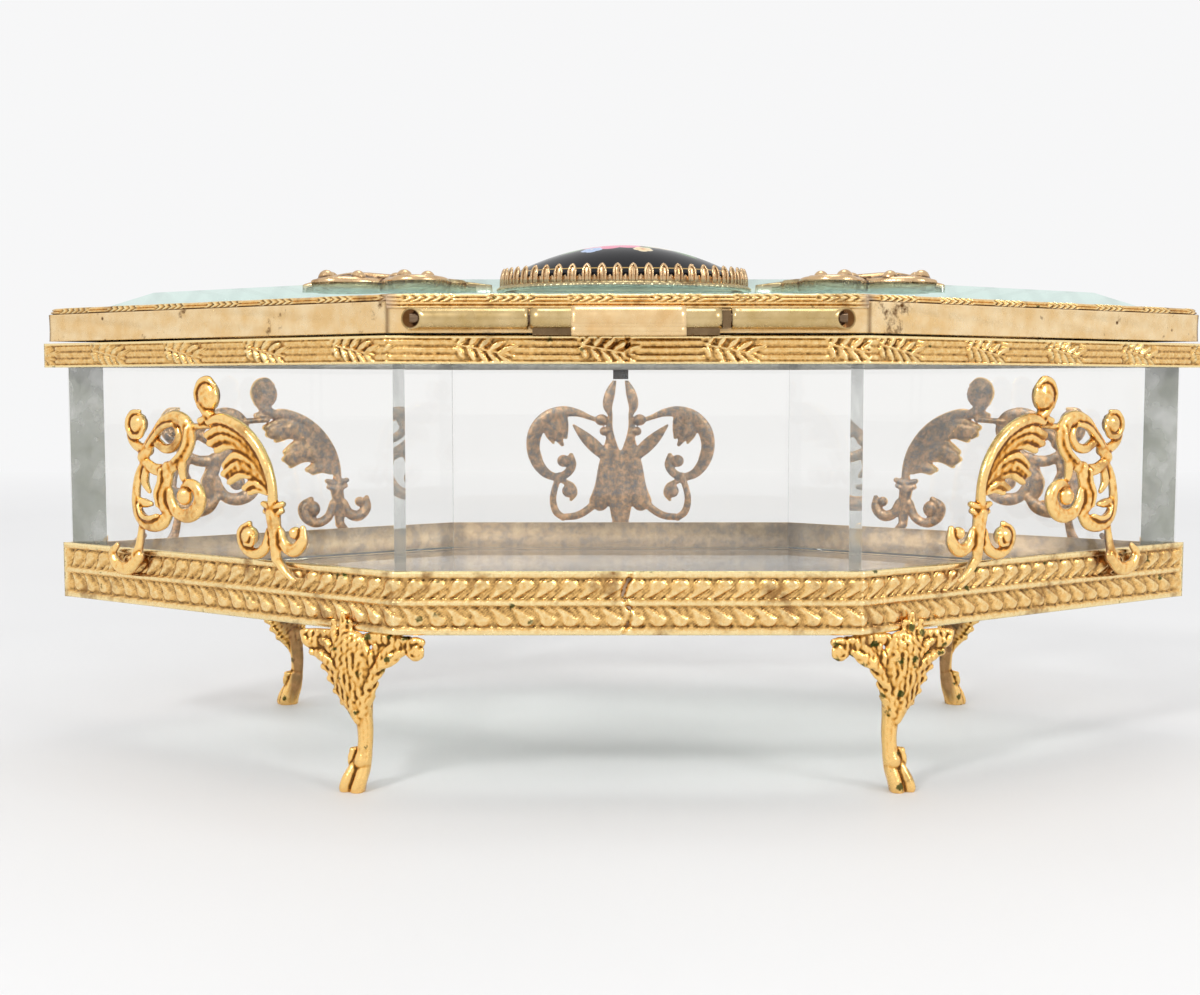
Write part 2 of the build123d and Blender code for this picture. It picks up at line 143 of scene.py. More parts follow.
def arrays_of(mesh: bpy.types.Mesh) -> Mesh:
    """Points and faces of a mesh, with triangles written as quads that repeat their last point."""
    points = np.empty(len(mesh.vertices) * 3)
    mesh.vertices.foreach_get("co", points)
    sides = np.empty(len(mesh.polygons), dtype=int)
    mesh.polygons.foreach_get("loop_total", sides)
    starts = np.empty(len(mesh.polygons), dtype=int)
    mesh.polygons.foreach_get("loop_start", starts)
    corners = np.empty(len(mesh.loops), dtype=int)
    mesh.loops.foreach_get("vertex_index", corners)
    step = np.minimum(np.arange(4)[None, :], sides[:, None] - 1)
    return points.reshape(-1, 3), corners[starts[:, None] + step]


def fused(name: str, shells: list[Mesh], voxel: float, smooth: int = 3) -> Mesh:
    """One cast skin round overlapping shells: a voxel remesh, then a little smoothing.

    Args:
        name: name of the working mesh.
        shells: closed shells in millimetres.
        voxel: voxel size in millimetres.
        smooth: passes of smoothing.

    Returns:
        Points in millimetres and faces.
    """
    work = shown(name + "_work", as_mesh(name + "_work", *joined(shells), scale=1.0))
    remesh = work.modifiers.new("skin", "REMESH")
    remesh.mode = "VOXEL"
    remesh.voxel_size = voxel
    soften = work.modifiers.new("soften", "SMOOTH")
    soften.factor = 0.5
    soften.iterations = smooth
    skin = evaluated(work)
    result = arrays_of(skin)
    bpy.data.objects.remove(work)
    bpy.data.meshes.remove(skin)
    return result


def wear_and_shading_of(points: np.ndarray, faces: np.ndarray, reach: int = 3) -> np.ndarray:
    """How far each point stands out, from 0 in a hollow to 1 on a crest; the gilt finishes turn it into grime and
    rubbed gilding and also into painted shade in the hollows and painted highlights on the crests.

    The mean of a point's neighbours is compared with the point along its normal, and the result is
    spread over a few rings of neighbours and scaled by its own spread.

    Args:
        points: (n, 3) places.
        faces: (m, 4) indices.
        reach: passes of spreading.

    Returns:
        (n,) values.
    """
    pairs = np.concatenate([faces[:, [a, (a + 1) % 4]] for a in range(4)])
    count = np.bincount(pairs.ravel(), minlength=len(points)).clip(1)

    def mean_round(values: np.ndarray) -> np.ndarray:
        """Mean of each point's neighbours."""
        total = np.zeros_like(values)
        np.add.at(total, pairs[:, 0], values[pairs[:, 1]])
        np.add.at(total, pairs[:, 1], values[pairs[:, 0]])
        return total / (count[:, None] if values.ndim > 1 else count)

    across = np.cross(points[faces[:, 2]] - points[faces[:, 0]], points[faces[:, 3]] - points[faces[:, 1]])
    normals = np.zeros_like(points)
    for corner in range(4):
        np.add.at(normals, faces[:, corner], across)
    normals /= np.linalg.norm(normals, axis=1, keepdims=True).clip(1e-12)
    around = points
    for _ in range(reach):
        around = mean_round(around)
    crest = ((points - around) * normals).sum(axis=1)
    crest = mean_round(crest)
    return 0.5 + 0.5 * np.tanh(crest / (crest.std() + 1e-12))


def keep(mesh: bpy.types.Mesh, name: str, values: np.ndarray) -> None:
    """Keeps one value a point on the mesh, where the finishes read it."""
    mesh.attributes.new(name, "FLOAT", "POINT").data.foreach_set("value", values.astype(np.float32))


def moulded(side: np.ndarray, share: np.ndarray, outer: np.ndarray, rise: np.ndarray,
            rest: list[tuple[float, float]]) -> Mesh:
    """Closed moulding round the plan: a modelled outer face, then the same back all round.

    Args:
        side: (k,) side numbers of the places round the plan.
        share: (k,) shares along the sides.
        outer: (k, m) insets of the outer face.
        rise: (m,) or (k, m) heights of the outer face.
        rest: inset and height of the points that close the section.

    Returns:
        Points and faces.
    """
    rest_inset = np.broadcast_to([inset for inset, _ in rest], (len(side), len(rest)))
    inset = np.concatenate([outer, rest_inset], axis=1)
    rest_height = np.broadcast_to([z for _, z in rest], (len(side), len(rest)))
    height = np.concatenate([np.broadcast_to(rise, outer.shape), rest_height], axis=1)
    points = PLAN.ring(side, share, inset, height)
    return points.reshape(-1, 3), grid_faces(len(side), inset.shape[1], True, True)


def inner_faces_mask(count: int, outer: int, rest: int) -> np.ndarray:
    """Mask of a moulding's back colours: 0 on its outer face and 1 on the points that close its section."""
    return np.tile(np.concatenate([np.zeros(outer), np.ones(rest)]), count)


def hexagon_sweep(name: str, section: list[tuple[float, float]], closed: bool) -> bpy.types.Mesh:
    """Plate or tube on the plan, flat sided: a section of insets and heights carried round the six corners.

    Args:
        name: the mesh's name.
        section: inset and height of each point.
        closed: join the section's end to its start as a tube; else cap both ends.

    Returns:
        The mesh in metres.
    """
    rings = np.stack([np.column_stack([PLAN.corners(inset), np.full(6, z)]) for inset, z in section], axis=1)
    points = rings.reshape(-1, 3)
    quads = grid_faces(6, len(section), True, closed)
    faces = quads.tolist()
    if not closed:
        foot = [corner * len(section) for corner in range(6)]
        faces += [foot, [index + len(section) - 1 for index in reversed(foot)]]
    mesh = bpy.data.meshes.new(name)
    mesh.from_pydata((points * MM).tolist(), [], faces)
    cycle = points if closed else points - points.mean(axis=0)
    if signed_volume(cycle, quads) < 0:
        mesh.flip_normals()
    mesh.validate()
    mesh.shade_flat()
    return mesh


def worn_and_shaded(name: str, points: np.ndarray, faces: np.ndarray, patina_and_painted_light: np.ndarray | None = None) -> bpy.types.Mesh:
    """Mesh in metres with its faces outwards, and with what its finish reads.

    Args:
        name: the mesh's name.
        points: (n, 3) places in millimetres.
        faces: (m, 4) indices.
        patina_and_painted_light: (n,) values, 1 where the metal was never polished, and also where its back colours
            paint shade in notches and recesses and light on undersides.

    Returns:
        The mesh, with the attributes wear and patina, both of which also carry painted light.
    """
    mesh = as_mesh(name, points, faces)
    if signed_volume(points, faces) < 0:
        mesh.flip_normals()
        faces = faces[:, ::-1]
    if len(mesh.vertices) == len(points):
        keep(mesh, "wear_and_shading", wear_and_shading_of(points, faces))
        keep(mesh, "patina_and_painted_light", np.zeros(len(points)) if patina_and_painted_light is None else patina_and_painted_light)
    return mesh


def signed_volume(points: np.ndarray, faces: np.ndarray) -> float:
    """Volume inside the faces, negative where they point inwards."""
    a, b, c, d = (points[faces[:, corner]] for corner in range(4))
    return float((a * np.cross(b, c)).sum() + (a * np.cross(c, d)).sum()) / 6


def through(points: np.ndarray, count: int) -> np.ndarray:
    """Smooth curve through points: cubic Hermite spans with chord-length spacing.

    Args:
        points: (n, k) values to pass through.
        count: number of points to return.

    Returns:
        (count, k) values along the curve.
    """
    points = np.asarray(points, dtype=float)
    if len(points) == 2:
        return points[0] + (points[1] - points[0]) * np.linspace(0, 1, count)[:, None]
    knots = np.concatenate([[0], np.cumsum(np.linalg.norm(np.diff(points[:, :2], axis=0), axis=1).clip(1e-6) ** 0.5)])
    slopes = np.gradient(points, knots, axis=0)
    place = np.linspace(0, knots[-1], count)
    span = np.clip(np.searchsorted(knots, place, side="right") - 1, 0, len(knots) - 2)
    width = (knots[span + 1] - knots[span])[:, None]
    t = (place - knots[span])[:, None] / width
    return (
        (2 * t**3 - 3 * t**2 + 1) * points[span] + (t**3 - 2 * t**2 + t) * width * slopes[span]
        + (3 * t**2 - 2 * t**3) * points[span + 1] + (t**3 - t**2) * width * slopes[span + 1]
    )


def lumps(points: np.ndarray, pitch: float, seed: int) -> np.ndarray:
    """Uneven surface of a rough casting: a sum of plane waves in seeded directions.

    Args:
        points: (n, 3) places in millimetres.
        pitch: mean length of the waves.
        seed: which set of directions.

    Returns:
        (n,) values about 0, mostly between -1 and 1.
    """
    rng = np.random.default_rng(seed)
    waves = rng.normal(size=(14, 3))
    waves *= (2 * np.pi / pitch) * rng.uniform(0.6, 1.5, (14, 1)) / np.linalg.norm(waves, axis=1, keepdims=True)
    return np.sin(points @ waves.T + rng.uniform(0, 2 * np.pi, 14)).sum(axis=1) / 14**0.5


def limb(path: list[tuple[float, float]], widths: list[float], flat: float = 0.8, lift: float | list[float] = 0.0,
         sides: int = 12) -> Mesh:
    """Tapered limb of a casting: an oval section carried along a curve, with rounded ends.

    Args:
        path: points in the drawing plane, x and y.
        widths: the limb's width at those points.
        flat: thickness across the drawing plane, as a share of the width.
        lift: height above the drawing plane, one value or one for each point.
        sides: points round the section.

    Returns:
        Points (x, y, height above the drawing plane) and faces.
    """
    drawn = np.array(path, dtype=float)
    lifts = np.broadcast_to(np.asarray(lift, dtype=float), (len(drawn),)) if np.ndim(lift) == 0 else np.array(lift)
    length = np.linalg.norm(np.diff(drawn, axis=0), axis=1).sum()
    count = int(np.clip(length / 0.35, 8, 90))
    share = np.linspace(0, 1, len(widths))
    table = np.column_stack([drawn, lifts, np.interp(np.linspace(0, 1, len(drawn)), share, widths)])
    line = through(table, count)
    centre, radius = line[:, :3], line[:, 3].clip(0.1) / 2
    run = np.gradient(centre, axis=0)
    run /= np.linalg.norm(run, axis=1, keepdims=True).clip(1e-9)
    turns = np.radians([80.0, 50.0, 25.0])
    front = centre[0] - run[0] * radius[0] * np.sin(turns)[:, None]
    back = centre[-1] + run[-1] * radius[-1] * np.sin(turns[::-1])[:, None]
    centre = np.concatenate([front, centre, back])
    run = np.concatenate([np.repeat(run[:1], 3, axis=0), run, np.repeat(run[-1:], 3, axis=0)])
    radius = np.concatenate([radius[0] * np.cos(turns), radius, radius[-1] * np.cos(turns[::-1])])
    beside = np.cross(np.array([0.0, 0.0, 1.0]), run)
    beside /= np.linalg.norm(beside, axis=1, keepdims=True).clip(1e-9)
    above = np.cross(run, beside)
    angle = np.linspace(0, 2 * np.pi, sides, endpoint=False)
    ring = beside[:, None] * np.cos(angle)[None, :, None] + above[:, None] * (flat * np.sin(angle))[None, :, None]
    points = centre[:, None] + ring * radius[:, None, None]
    rows = len(centre)
    faces = grid_faces(rows, sides, wrap_columns=True)
    poles = np.array([centre[0], centre[-1]])
    first, last = rows * sides, rows * sides + 1
    turn = np.arange(sides)
    following = (turn + 1) % sides
    start_fan = np.column_stack([following, turn, np.full(sides, first), np.full(sides, first)])
    end_row = (rows - 1) * sides
    end_fan = np.column_stack([end_row + turn, end_row + following, np.full(sides, last), np.full(sides, last)])
    return np.concatenate([points.reshape(-1, 3), poles]), np.concatenate([faces, start_fan, end_fan])


def bead(x: float, y: float, lift: float, size: tuple[float, float, float], rows: int = 9, sides: int = 14) -> Mesh:
    """Oval bead: a sphere's grid of angles, stretched to three radii."""
    polar = np.linspace(0.02, np.pi - 0.02, rows)[:, None]
    turn = np.linspace(0, 2 * np.pi, sides, endpoint=False)[None, :]
    shell = np.stack([np.sin(polar) * np.cos(turn), np.sin(polar) * np.sin(turn), np.cos(polar) + 0 * turn], axis=-1)
    points = shell.reshape(-1, 3) * np.array(size) + np.array([x, y, lift])
    faces = grid_faces(rows, sides, wrap_columns=True)
    poles = np.array([[x, y, lift + size[2]], [x, y, lift - size[2]]])
    turn_index = np.arange(sides)
    following = (turn_index + 1) % sides
    top, foot = rows * sides, rows * sides + 1
    top_fan = np.column_stack([following, turn_index, np.full(sides, top), np.full(sides, top)])
    end = (rows - 1) * sides
    foot_fan = np.column_stack([end + turn_index, end + following, np.full(sides, foot), np.full(sides, foot)])
    return np.concatenate([points, poles]), np.concatenate([faces, top_fan, foot_fan])


# ---------------------------------------------------------------- finishes


class Tree:
    """Short way to add and join a material's nodes."""

    def __init__(self, name: str) -> None:
        """Starts an empty material called name."""
        self.material = bpy.data.materials.new(name)
        self.material.use_nodes = True
        self.nodes = self.material.node_tree.nodes
        self.links = self.material.node_tree.links
        self.nodes.clear()
        self.output = self.nodes.new("ShaderNodeOutputMaterial")
        self.place = self.nodes.new("ShaderNodeTexCoord").outputs["Object"]

    def add(self, kind: str, inputs: dict | None = None, **settings: object) -> bpy.types.Node:
        """Adds a node.

        Args:
            kind: node type without its ShaderNode prefix.
            inputs: socket name or index to a value or an output socket.
            settings: attributes of the node.

        Returns:
            The node.
        """
        node = self.nodes.new("ShaderNode" + kind)
        for key, value in settings.items():
            setattr(node, key, value)
        for key, value in (inputs or {}).items():
            socket = node.inputs[key]
            if isinstance(value, bpy.types.NodeSocket):
                self.links.new(value, socket)
            else:
                socket.default_value = value
        return node

    def noise(self, scale: float, detail: float = 3.0, rough: float = 0.55) -> bpy.types.NodeSocket:
        """Noise value over the piece, scale in cycles per metre."""
        node = self.add("TexNoise", {"Vector": self.place, "Scale": scale, "Detail": detail, "Roughness": rough})
        return node.outputs["Fac"]

    def ramp(self, factor: bpy.types.NodeSocket, stops: list[tuple[float, tuple]]) -> bpy.types.NodeSocket:
        """Colour ramp over factor."""
        node = self.add("ValToRGB", {"Fac": factor})
        elements = node.color_ramp.elements
        while len(elements) < len(stops):
            elements.new(0.5)
        for element, (position, colour) in zip(elements, stops):
            element.position = position
            element.color = (*colour, 1.0)
        return node.outputs["Color"]

    def spread(self, value: bpy.types.NodeSocket, low: float, high: float, to_low: float = 0.0,
               to_high: float = 1.0) -> bpy.types.NodeSocket:
        """Maps a value from one range to another and clamps it."""
        sockets = {"Value": value, "From Min": low, "From Max": high, "To Min": to_low, "To Max": to_high}
        return self.add("MapRange", sockets).outputs["Result"]

    def maths(self, operation: str, first: object, second: object) -> bpy.types.NodeSocket:
        """One sum on two values."""
        return self.add("Math", {0: first, 1: second}, operation=operation).outputs[0]

    def mix(self, factor: object, first: object, second: object, blend: str = "MIX") -> bpy.types.NodeSocket:
        """Mixes two colours."""
        sockets = {"Factor": factor, 6: first, 7: second}
        return self.add("Mix", sockets, data_type="RGBA", blend_type=blend).outputs[2]

    def finish(self, shader: bpy.types.Node) -> bpy.types.Material:
        """Joins the shader to the output and returns the material."""
        self.links.new(shader.outputs[0], self.output.inputs["Surface"])
        return self.material


@dataclass(frozen=True)
class Gilding:
    """Gilt brass, bright on the crests and brown in the hollows, partly as painted highlight and painted shade, with
    verdigris and backs never polished whose colours also paint shade on castings and light on undersides.
    """

    name: str
    # The crest and hollow colours are partly rubbed gilding and grime and partly painted highlight and painted shade.
    crest: tuple = (0.98, 0.70, 0.32)
    middle: tuple = (0.70, 0.37, 0.10)
    hollow: tuple = (0.050, 0.020, 0.006)
    back: tuple = (0.38, 0.26, 0.17)
    back_pale: tuple = (0.46, 0.32, 0.20)
    back_grey: tuple = (0.26, 0.20, 0.16)
    back_rough: float = 0.30
    dull: tuple = (0.33, 0.165, 0.055)
    mottle: float = 0.10
    back_scale: float = 380.0
    hollow_at: float = 0.22
    crest_at: float = 0.74
    verdigris: float = 0.9
    verdigris_from: float = 0.57
    speck: float = 0.12
    dull_from: float = 0.56
    smooth: float = 0.15
    grain: float = 2200.0
    grain_depth: float = 0.00006

    def build(self) -> bpy.types.Material:
        """Material with colour, roughness and bump from nodes."""
        tree = Tree(self.name)
        blotch = tree.noise(170.0, 4.0, 0.6)
        fine = tree.noise(1400.0, 3.0, 0.6)
        # Crest-to-hollow ramp: rubbed gilding and grime, and also painted highlights on the crests and painted shade in
        # the hollows.
        wear_and_shading = tree.add("Attribute", attribute_name="wear_and_shading").outputs["Fac"]
        patina_and_painted_light = tree.add("Attribute", attribute_name="patina_and_painted_light").outputs["Fac"]
        stirred = tree.maths("ADD", wear_and_shading, tree.spread(fine, 0.3, 0.7, -self.mottle, self.mottle))
        between = (self.hollow_at + self.crest_at) / 2
        colour = tree.ramp(stirred, [(self.hollow_at, self.hollow), (between, self.middle), (self.crest_at, self.crest)])
        dull = tree.spread(blotch, self.dull_from, self.dull_from + 0.16)
        colour = tree.mix(dull, colour, (*self.dull, 1.0))
        spots = tree.add("TexVoronoi", {"Vector": tree.place, "Scale": 330.0, "Randomness": 1.0})
        ragged = tree.maths("ADD", spots.outputs["Distance"], tree.spread(fine, 0.3, 0.7, -0.10, 0.10))
        speck = tree.spread(ragged, self.speck, self.speck + 0.08, 1.0, 0.0)
        chosen = tree.spread(tree.noise(90.0, 2.0), self.verdigris_from, self.verdigris_from + 0.04, 0.0, self.verdigris)
        colour = tree.mix(tree.maths("MULTIPLY", speck, chosen), colour, (0.035, 0.055, 0.012, 1.0))
        # Back colours where the patina mask is 1: metal never polished, and also painted shade on the castings' backs
        # and, in the old gilt, painted light on undersides.
        back_patina_and_shading = tree.ramp(tree.noise(self.back_scale, 5.0, 0.7), [(0.38, self.back_grey), (0.50, self.back),
                                                         (0.62, self.back_pale)])
        colour = tree.mix(patina_and_painted_light, colour, back_patina_and_shading)
        rough = tree.spread(tree.noise(700.0, 4.0), 0.3, 0.75, self.smooth, self.smooth + 0.22)
        rough = tree.maths("ADD", rough, tree.maths("MULTIPLY", patina_and_painted_light, self.back_rough))
        bump = tree.add("Bump", {"Height": tree.noise(self.grain, 4.0, 0.65), "Strength": 0.55,
                                 "Distance": self.grain_depth})
        shader = tree.add("BsdfPrincipled", {"Base Color": colour, "Metallic": 1.0, "Roughness": rough,
                                             "Normal": bump.outputs["Normal"]})
        return tree.finish(shader)


@dataclass(frozen=True)
class PlainBrass:
    """Worn plain brass: satin, finely scratched along, with soft brown spots and pits."""

    name: str
    base: tuple = (0.86, 0.58, 0.27)
    pale: tuple = (0.96, 0.74, 0.44)
    stain: tuple = (0.14, 0.060, 0.018)
    stain_from: float = 0.60
    smooth: float = 0.20

    def build(self) -> bpy.types.Material:
        """Material with stains, pits, long scratches and a satin bump."""
        tree = Tree(self.name)
        colour = tree.ramp(tree.noise(240.0, 4.0, 0.6), [(0.35, self.base), (0.65, self.pale)])
        stain = tree.spread(tree.noise(130.0, 5.0, 0.72), self.stain_from, self.stain_from + 0.09)
        spots = tree.add("TexVoronoi", {"Vector": tree.place, "Scale": 300.0, "Randomness": 1.0})
        speck = tree.spread(spots.outputs["Distance"], 0.07, 0.13, 1.0, 0.0)
        chosen = tree.spread(tree.noise(120.0, 2.0), 0.54, 0.60)
        stain = tree.maths("MAXIMUM", stain, tree.maths("MULTIPLY", speck, chosen))
        # The patina mask takes the stain colour: painted shade in the hinge tube mouths and at the band's corner
        # notches, and dark inner faces of the band.
        patina_and_painted_light = tree.add("Attribute", attribute_name="patina_and_painted_light").outputs["Fac"]
        colour = tree.mix(tree.maths("MAXIMUM", stain, patina_and_painted_light), colour, (*self.stain, 1.0))
        stretched = tree.add("Mapping", {"Vector": tree.place, "Scale": (60.0, 60.0, 4200.0)})
        lines = tree.add("TexNoise", {"Vector": stretched.outputs[0], "Scale": 1.0, "Detail": 3.0})
        rough = tree.spread(tree.noise(500.0, 3.0), 0.3, 0.7, self.smooth, self.smooth + 0.16)
        bump = tree.add("Bump", {"Height": lines.outputs["Fac"], "Strength": 0.25, "Distance": 0.00002})
        pits = tree.add("Bump", {"Height": tree.noise(3200.0, 3.0), "Strength": 0.35, "Distance": 0.00002,
                                 "Normal": bump.outputs["Normal"]})
        shader = tree.add("BsdfPrincipled", {"Base Color": colour, "Metallic": 1.0, "Roughness": rough,
                                             "Normal": pits.outputs["Normal"]})
        return tree.finish(shader)


@dataclass(frozen=True)
class ThickGlass:
    """Polished plate glass that lets lamps through and darkens with its own thickness."""

    name: str
    tint: tuple = (0.985, 0.995, 0.99)
    depth_tint: tuple = (0.45, 0.66, 0.58, 1.0)
    density: float = 7.0
    index: float = 1.5
    coat: float = 0.0
    ripple: float = 0.00006
    ripple_scale: float = 26.0
    reflection_band_pitch: float = 0.0
    passed: tuple = (0.95, 0.95, 0.945, 1.0)

    def build(self) -> bpy.types.Material:
        """Material with a faint ripple of hand-finished plate, and, where a pitch is given, soft darker bands along X
        that paint the reflections inside the bevelled glass.
        """
        tree = Tree(self.name)
        bump = tree.add("Bump", {"Height": tree.noise(self.ripple_scale, 1.0), "Strength": 0.35,
                                 "Distance": self.ripple})
        colour = (*self.tint, 1.0)
        # Painted reflection: soft darker bands that stand for the images reflected inside the bevelled glass.
        if self.reflection_band_pitch:
            along = tree.add("SeparateXYZ", {"Vector": tree.place}).outputs["X"]
            wave = tree.maths("SINE", tree.maths("MULTIPLY", along, 2 * math.pi / self.reflection_band_pitch), 0.0)
            colour = tree.mix(tree.spread(wave, 0.3, 0.9, 0.0, 0.5), colour, tuple(0.80 * v for v in self.tint) + (1.0,))
        shader = tree.add("BsdfPrincipled", {"Base Color": colour, "Roughness": 0.0, "IOR": self.index,
                                             "Transmission Weight": 1.0, "Coat Weight": self.coat,
                                             "Coat Roughness": 0.02, "Normal": bump.outputs["Normal"]})
        clear = tree.add("BsdfTransparent", {"Color": self.passed})
        path = tree.add("LightPath")
        mixed = tree.add("MixShader", {0: path.outputs["Is Shadow Ray"], 1: shader.outputs[0], 2: clear.outputs[0]})
        depth = tree.add("VolumeAbsorption", {"Color": self.depth_tint, "Density": self.density})
        tree.links.new(depth.outputs[0], tree.output.inputs["Volume"])
        return tree.finish(mixed)


@dataclass(frozen=True)
class Cement:
    """Thin milky cement in a glass joint, mostly see-through."""

    name: str
    colour: tuple = (0.50, 0.54, 0.50)
    alpha: float = 0.22

    def build(self) -> bpy.types.Material:
        """Material whose milkiness varies a little along the joint."""
        tree = Tree(self.name)
        alpha = tree.spread(tree.noise(120.0, 3.0), 0.35, 0.65, 0.7 * self.alpha, 1.3 * self.alpha)
        shader = tree.add("BsdfPrincipled", {"Base Color": (*self.colour, 1.0), "Roughness": 0.4, "Alpha": alpha})
        return tree.finish(shader)


@dataclass(frozen=True)
class PaintedGlaze:
    """Painted plaque under a glossy glaze; the painting is the mesh's paint attribute."""

    name: str
    gloss: float = 0.22

    def build(self) -> bpy.types.Material:
        """Material that reads the painting and adds a brush grain."""
        tree = Tree(self.name)
        paint = tree.add("Attribute", attribute_name="paint").outputs["Color"]
        grain = tree.spread(tree.noise(1800.0, 3.0), 0.3, 0.7, 0.86, 1.0)
        colour = tree.mix(1.0, paint, grain, "MULTIPLY")
        rough = tree.spread(tree.noise(300.0, 2.0), 0.3, 0.7, 0.10, 0.18)
        shader = tree.add("BsdfPrincipled", {"Base Color": colour, "Roughness": rough, "IOR": 1.25,
                                             "Specular IOR Level": self.gloss})
        return tree.finish(shader)


# ---------------------------------------------------------------- the plan


@dataclass(frozen=True)
class HexPlan:
    """Plan hexagon of the base strip's outer face, its points on X."""

    half_length: float
    half_centre: float
    half_depth: float

    @property
    def slant(self) -> float:
        """Angle between a diagonal side and X, in radians."""
        return math.atan2(self.half_depth, self.half_length - self.half_centre)

    def corners(self, inset: float = 0.0) -> np.ndarray:
        """The six corners of the outline moved inwards by inset, anticlockwise from the back left."""
        centre = self.half_centre - inset * math.tan(self.slant / 2)
        length = self.half_length - inset / math.sin(self.slant)
        depth = self.half_depth - inset
        return np.array([(-centre, -depth), (centre, -depth), (length, 0), (centre, depth), (-centre, depth),
                         (-length, 0)])

    def around(self, step: float) -> tuple[np.ndarray, np.ndarray, np.ndarray]:
        """Places round the outline about step apart.

        Returns:
            The side's number, the share along it and the distance from that side's start.
        """
        corners = self.corners()
        lengths = np.linalg.norm(np.roll(corners, -1, axis=0) - corners, axis=1)
        sides, shares, distances = [], [], []
        for side, length in enumerate(lengths):
            count = max(2, int(round(length / step)))
            share = np.arange(count) / count
            sides.append(np.full(count, side))
            shares.append(share)
            distances.append(share * length)
        return np.concatenate(sides), np.concatenate(shares), np.concatenate(distances)

    def from_tips(self, side: np.ndarray, share: np.ndarray) -> np.ndarray:
        """Distance of each place from the nearer of the two pointed ends."""
        zero = np.zeros((len(side), 1))
        places = self.ring(side, share, zero, zero)[:, 0, :2]
        return np.linalg.norm(places[:, None] - self.corners(0.0)[None, [2, 5]], axis=2).min(axis=1)

    def ring(self, side: np.ndarray, share: np.ndarray, inset: np.ndarray, height: np.ndarray) -> np.ndarray:
        """Points of a moulding: each stands inset from the outline at a share of a side, at a height.

        Args:
            side: (k,) side numbers.
            share: (k,) shares along the sides.
            inset: (k, m) distances inwards.
            height: (k, m) heights.

        Returns:
            (k, m, 3) points.
        """
        at_zero = self.corners(0.0)
        per_inset = self.corners(1.0) - at_zero
        following = (side + 1) % 6
        first = at_zero[side][:, None] + inset[..., None] * per_inset[side][:, None]
        second = at_zero[following][:, None] + inset[..., None] * per_inset[following][:, None]
        flat = first + (second - first) * share[:, None, None]
        return np.concatenate([flat, np.broadcast_to(height, inset.shape)[..., None]], axis=-1)


def in_mm(node: str) -> tuple[np.ndarray, np.ndarray]:
    """Lowest and highest corner of a CAD node, in millimetres."""
    low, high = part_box(node)
    return np.array(low) / MM, np.array(high) / MM


def plan_from_frame() -> HexPlan:
    """The plan, worked out from the base strip and the back glass."""
    strip_high = in_mm("base_frame")[1]
    glass_high = in_mm("glass_back")[1]
    inset = strip_high[1] - in_mm("glass_front")[1][1]
    slant = math.asin(min(1.0, inset / (strip_high[0] - in_mm("glass_front_right")[1][0])))
    return HexPlan(strip_high[0], glass_high[0] + inset * math.tan(slant / 2), strip_high[1])


PLAN = plan_from_frame()


def dressed(name: str, mesh: bpy.types.Mesh, finish: bpy.types.Material, body: Body, slot: Slot,
            *nodes: str) -> bpy.types.Object:
    """Shows a mesh with its finish on its body, in place of CAD nodes.

    Args:
        name: the piece's name.
        mesh: its mesh, in metres.
        finish: its material.
        body: the body that it rides on.
        slot: its slot in the record; not used.
        nodes: CAD nodes that it stands for.

    Returns:
        The piece.
    """
    piece = shown(name, mesh)
    piece.data.materials.append(finish)
    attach(piece, body.value)
    if nodes:
        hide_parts(*nodes)
    LOG.info("%s: %d faces on %s", name, len(mesh.polygons), body.value)
    return piece


# ---------------------------------------------------------------- stamped strips


def lobes(phase: np.ndarray, width: np.ndarray, power: float = 0.8) -> np.ndarray:
    """Row of rounded lobes: one to a unit of phase, width as a share of the pitch."""
    across = (2 * (phase - np.floor(phase)) - 1) / width.clip(0.05)
    return (1 - across**2).clip(0) ** power


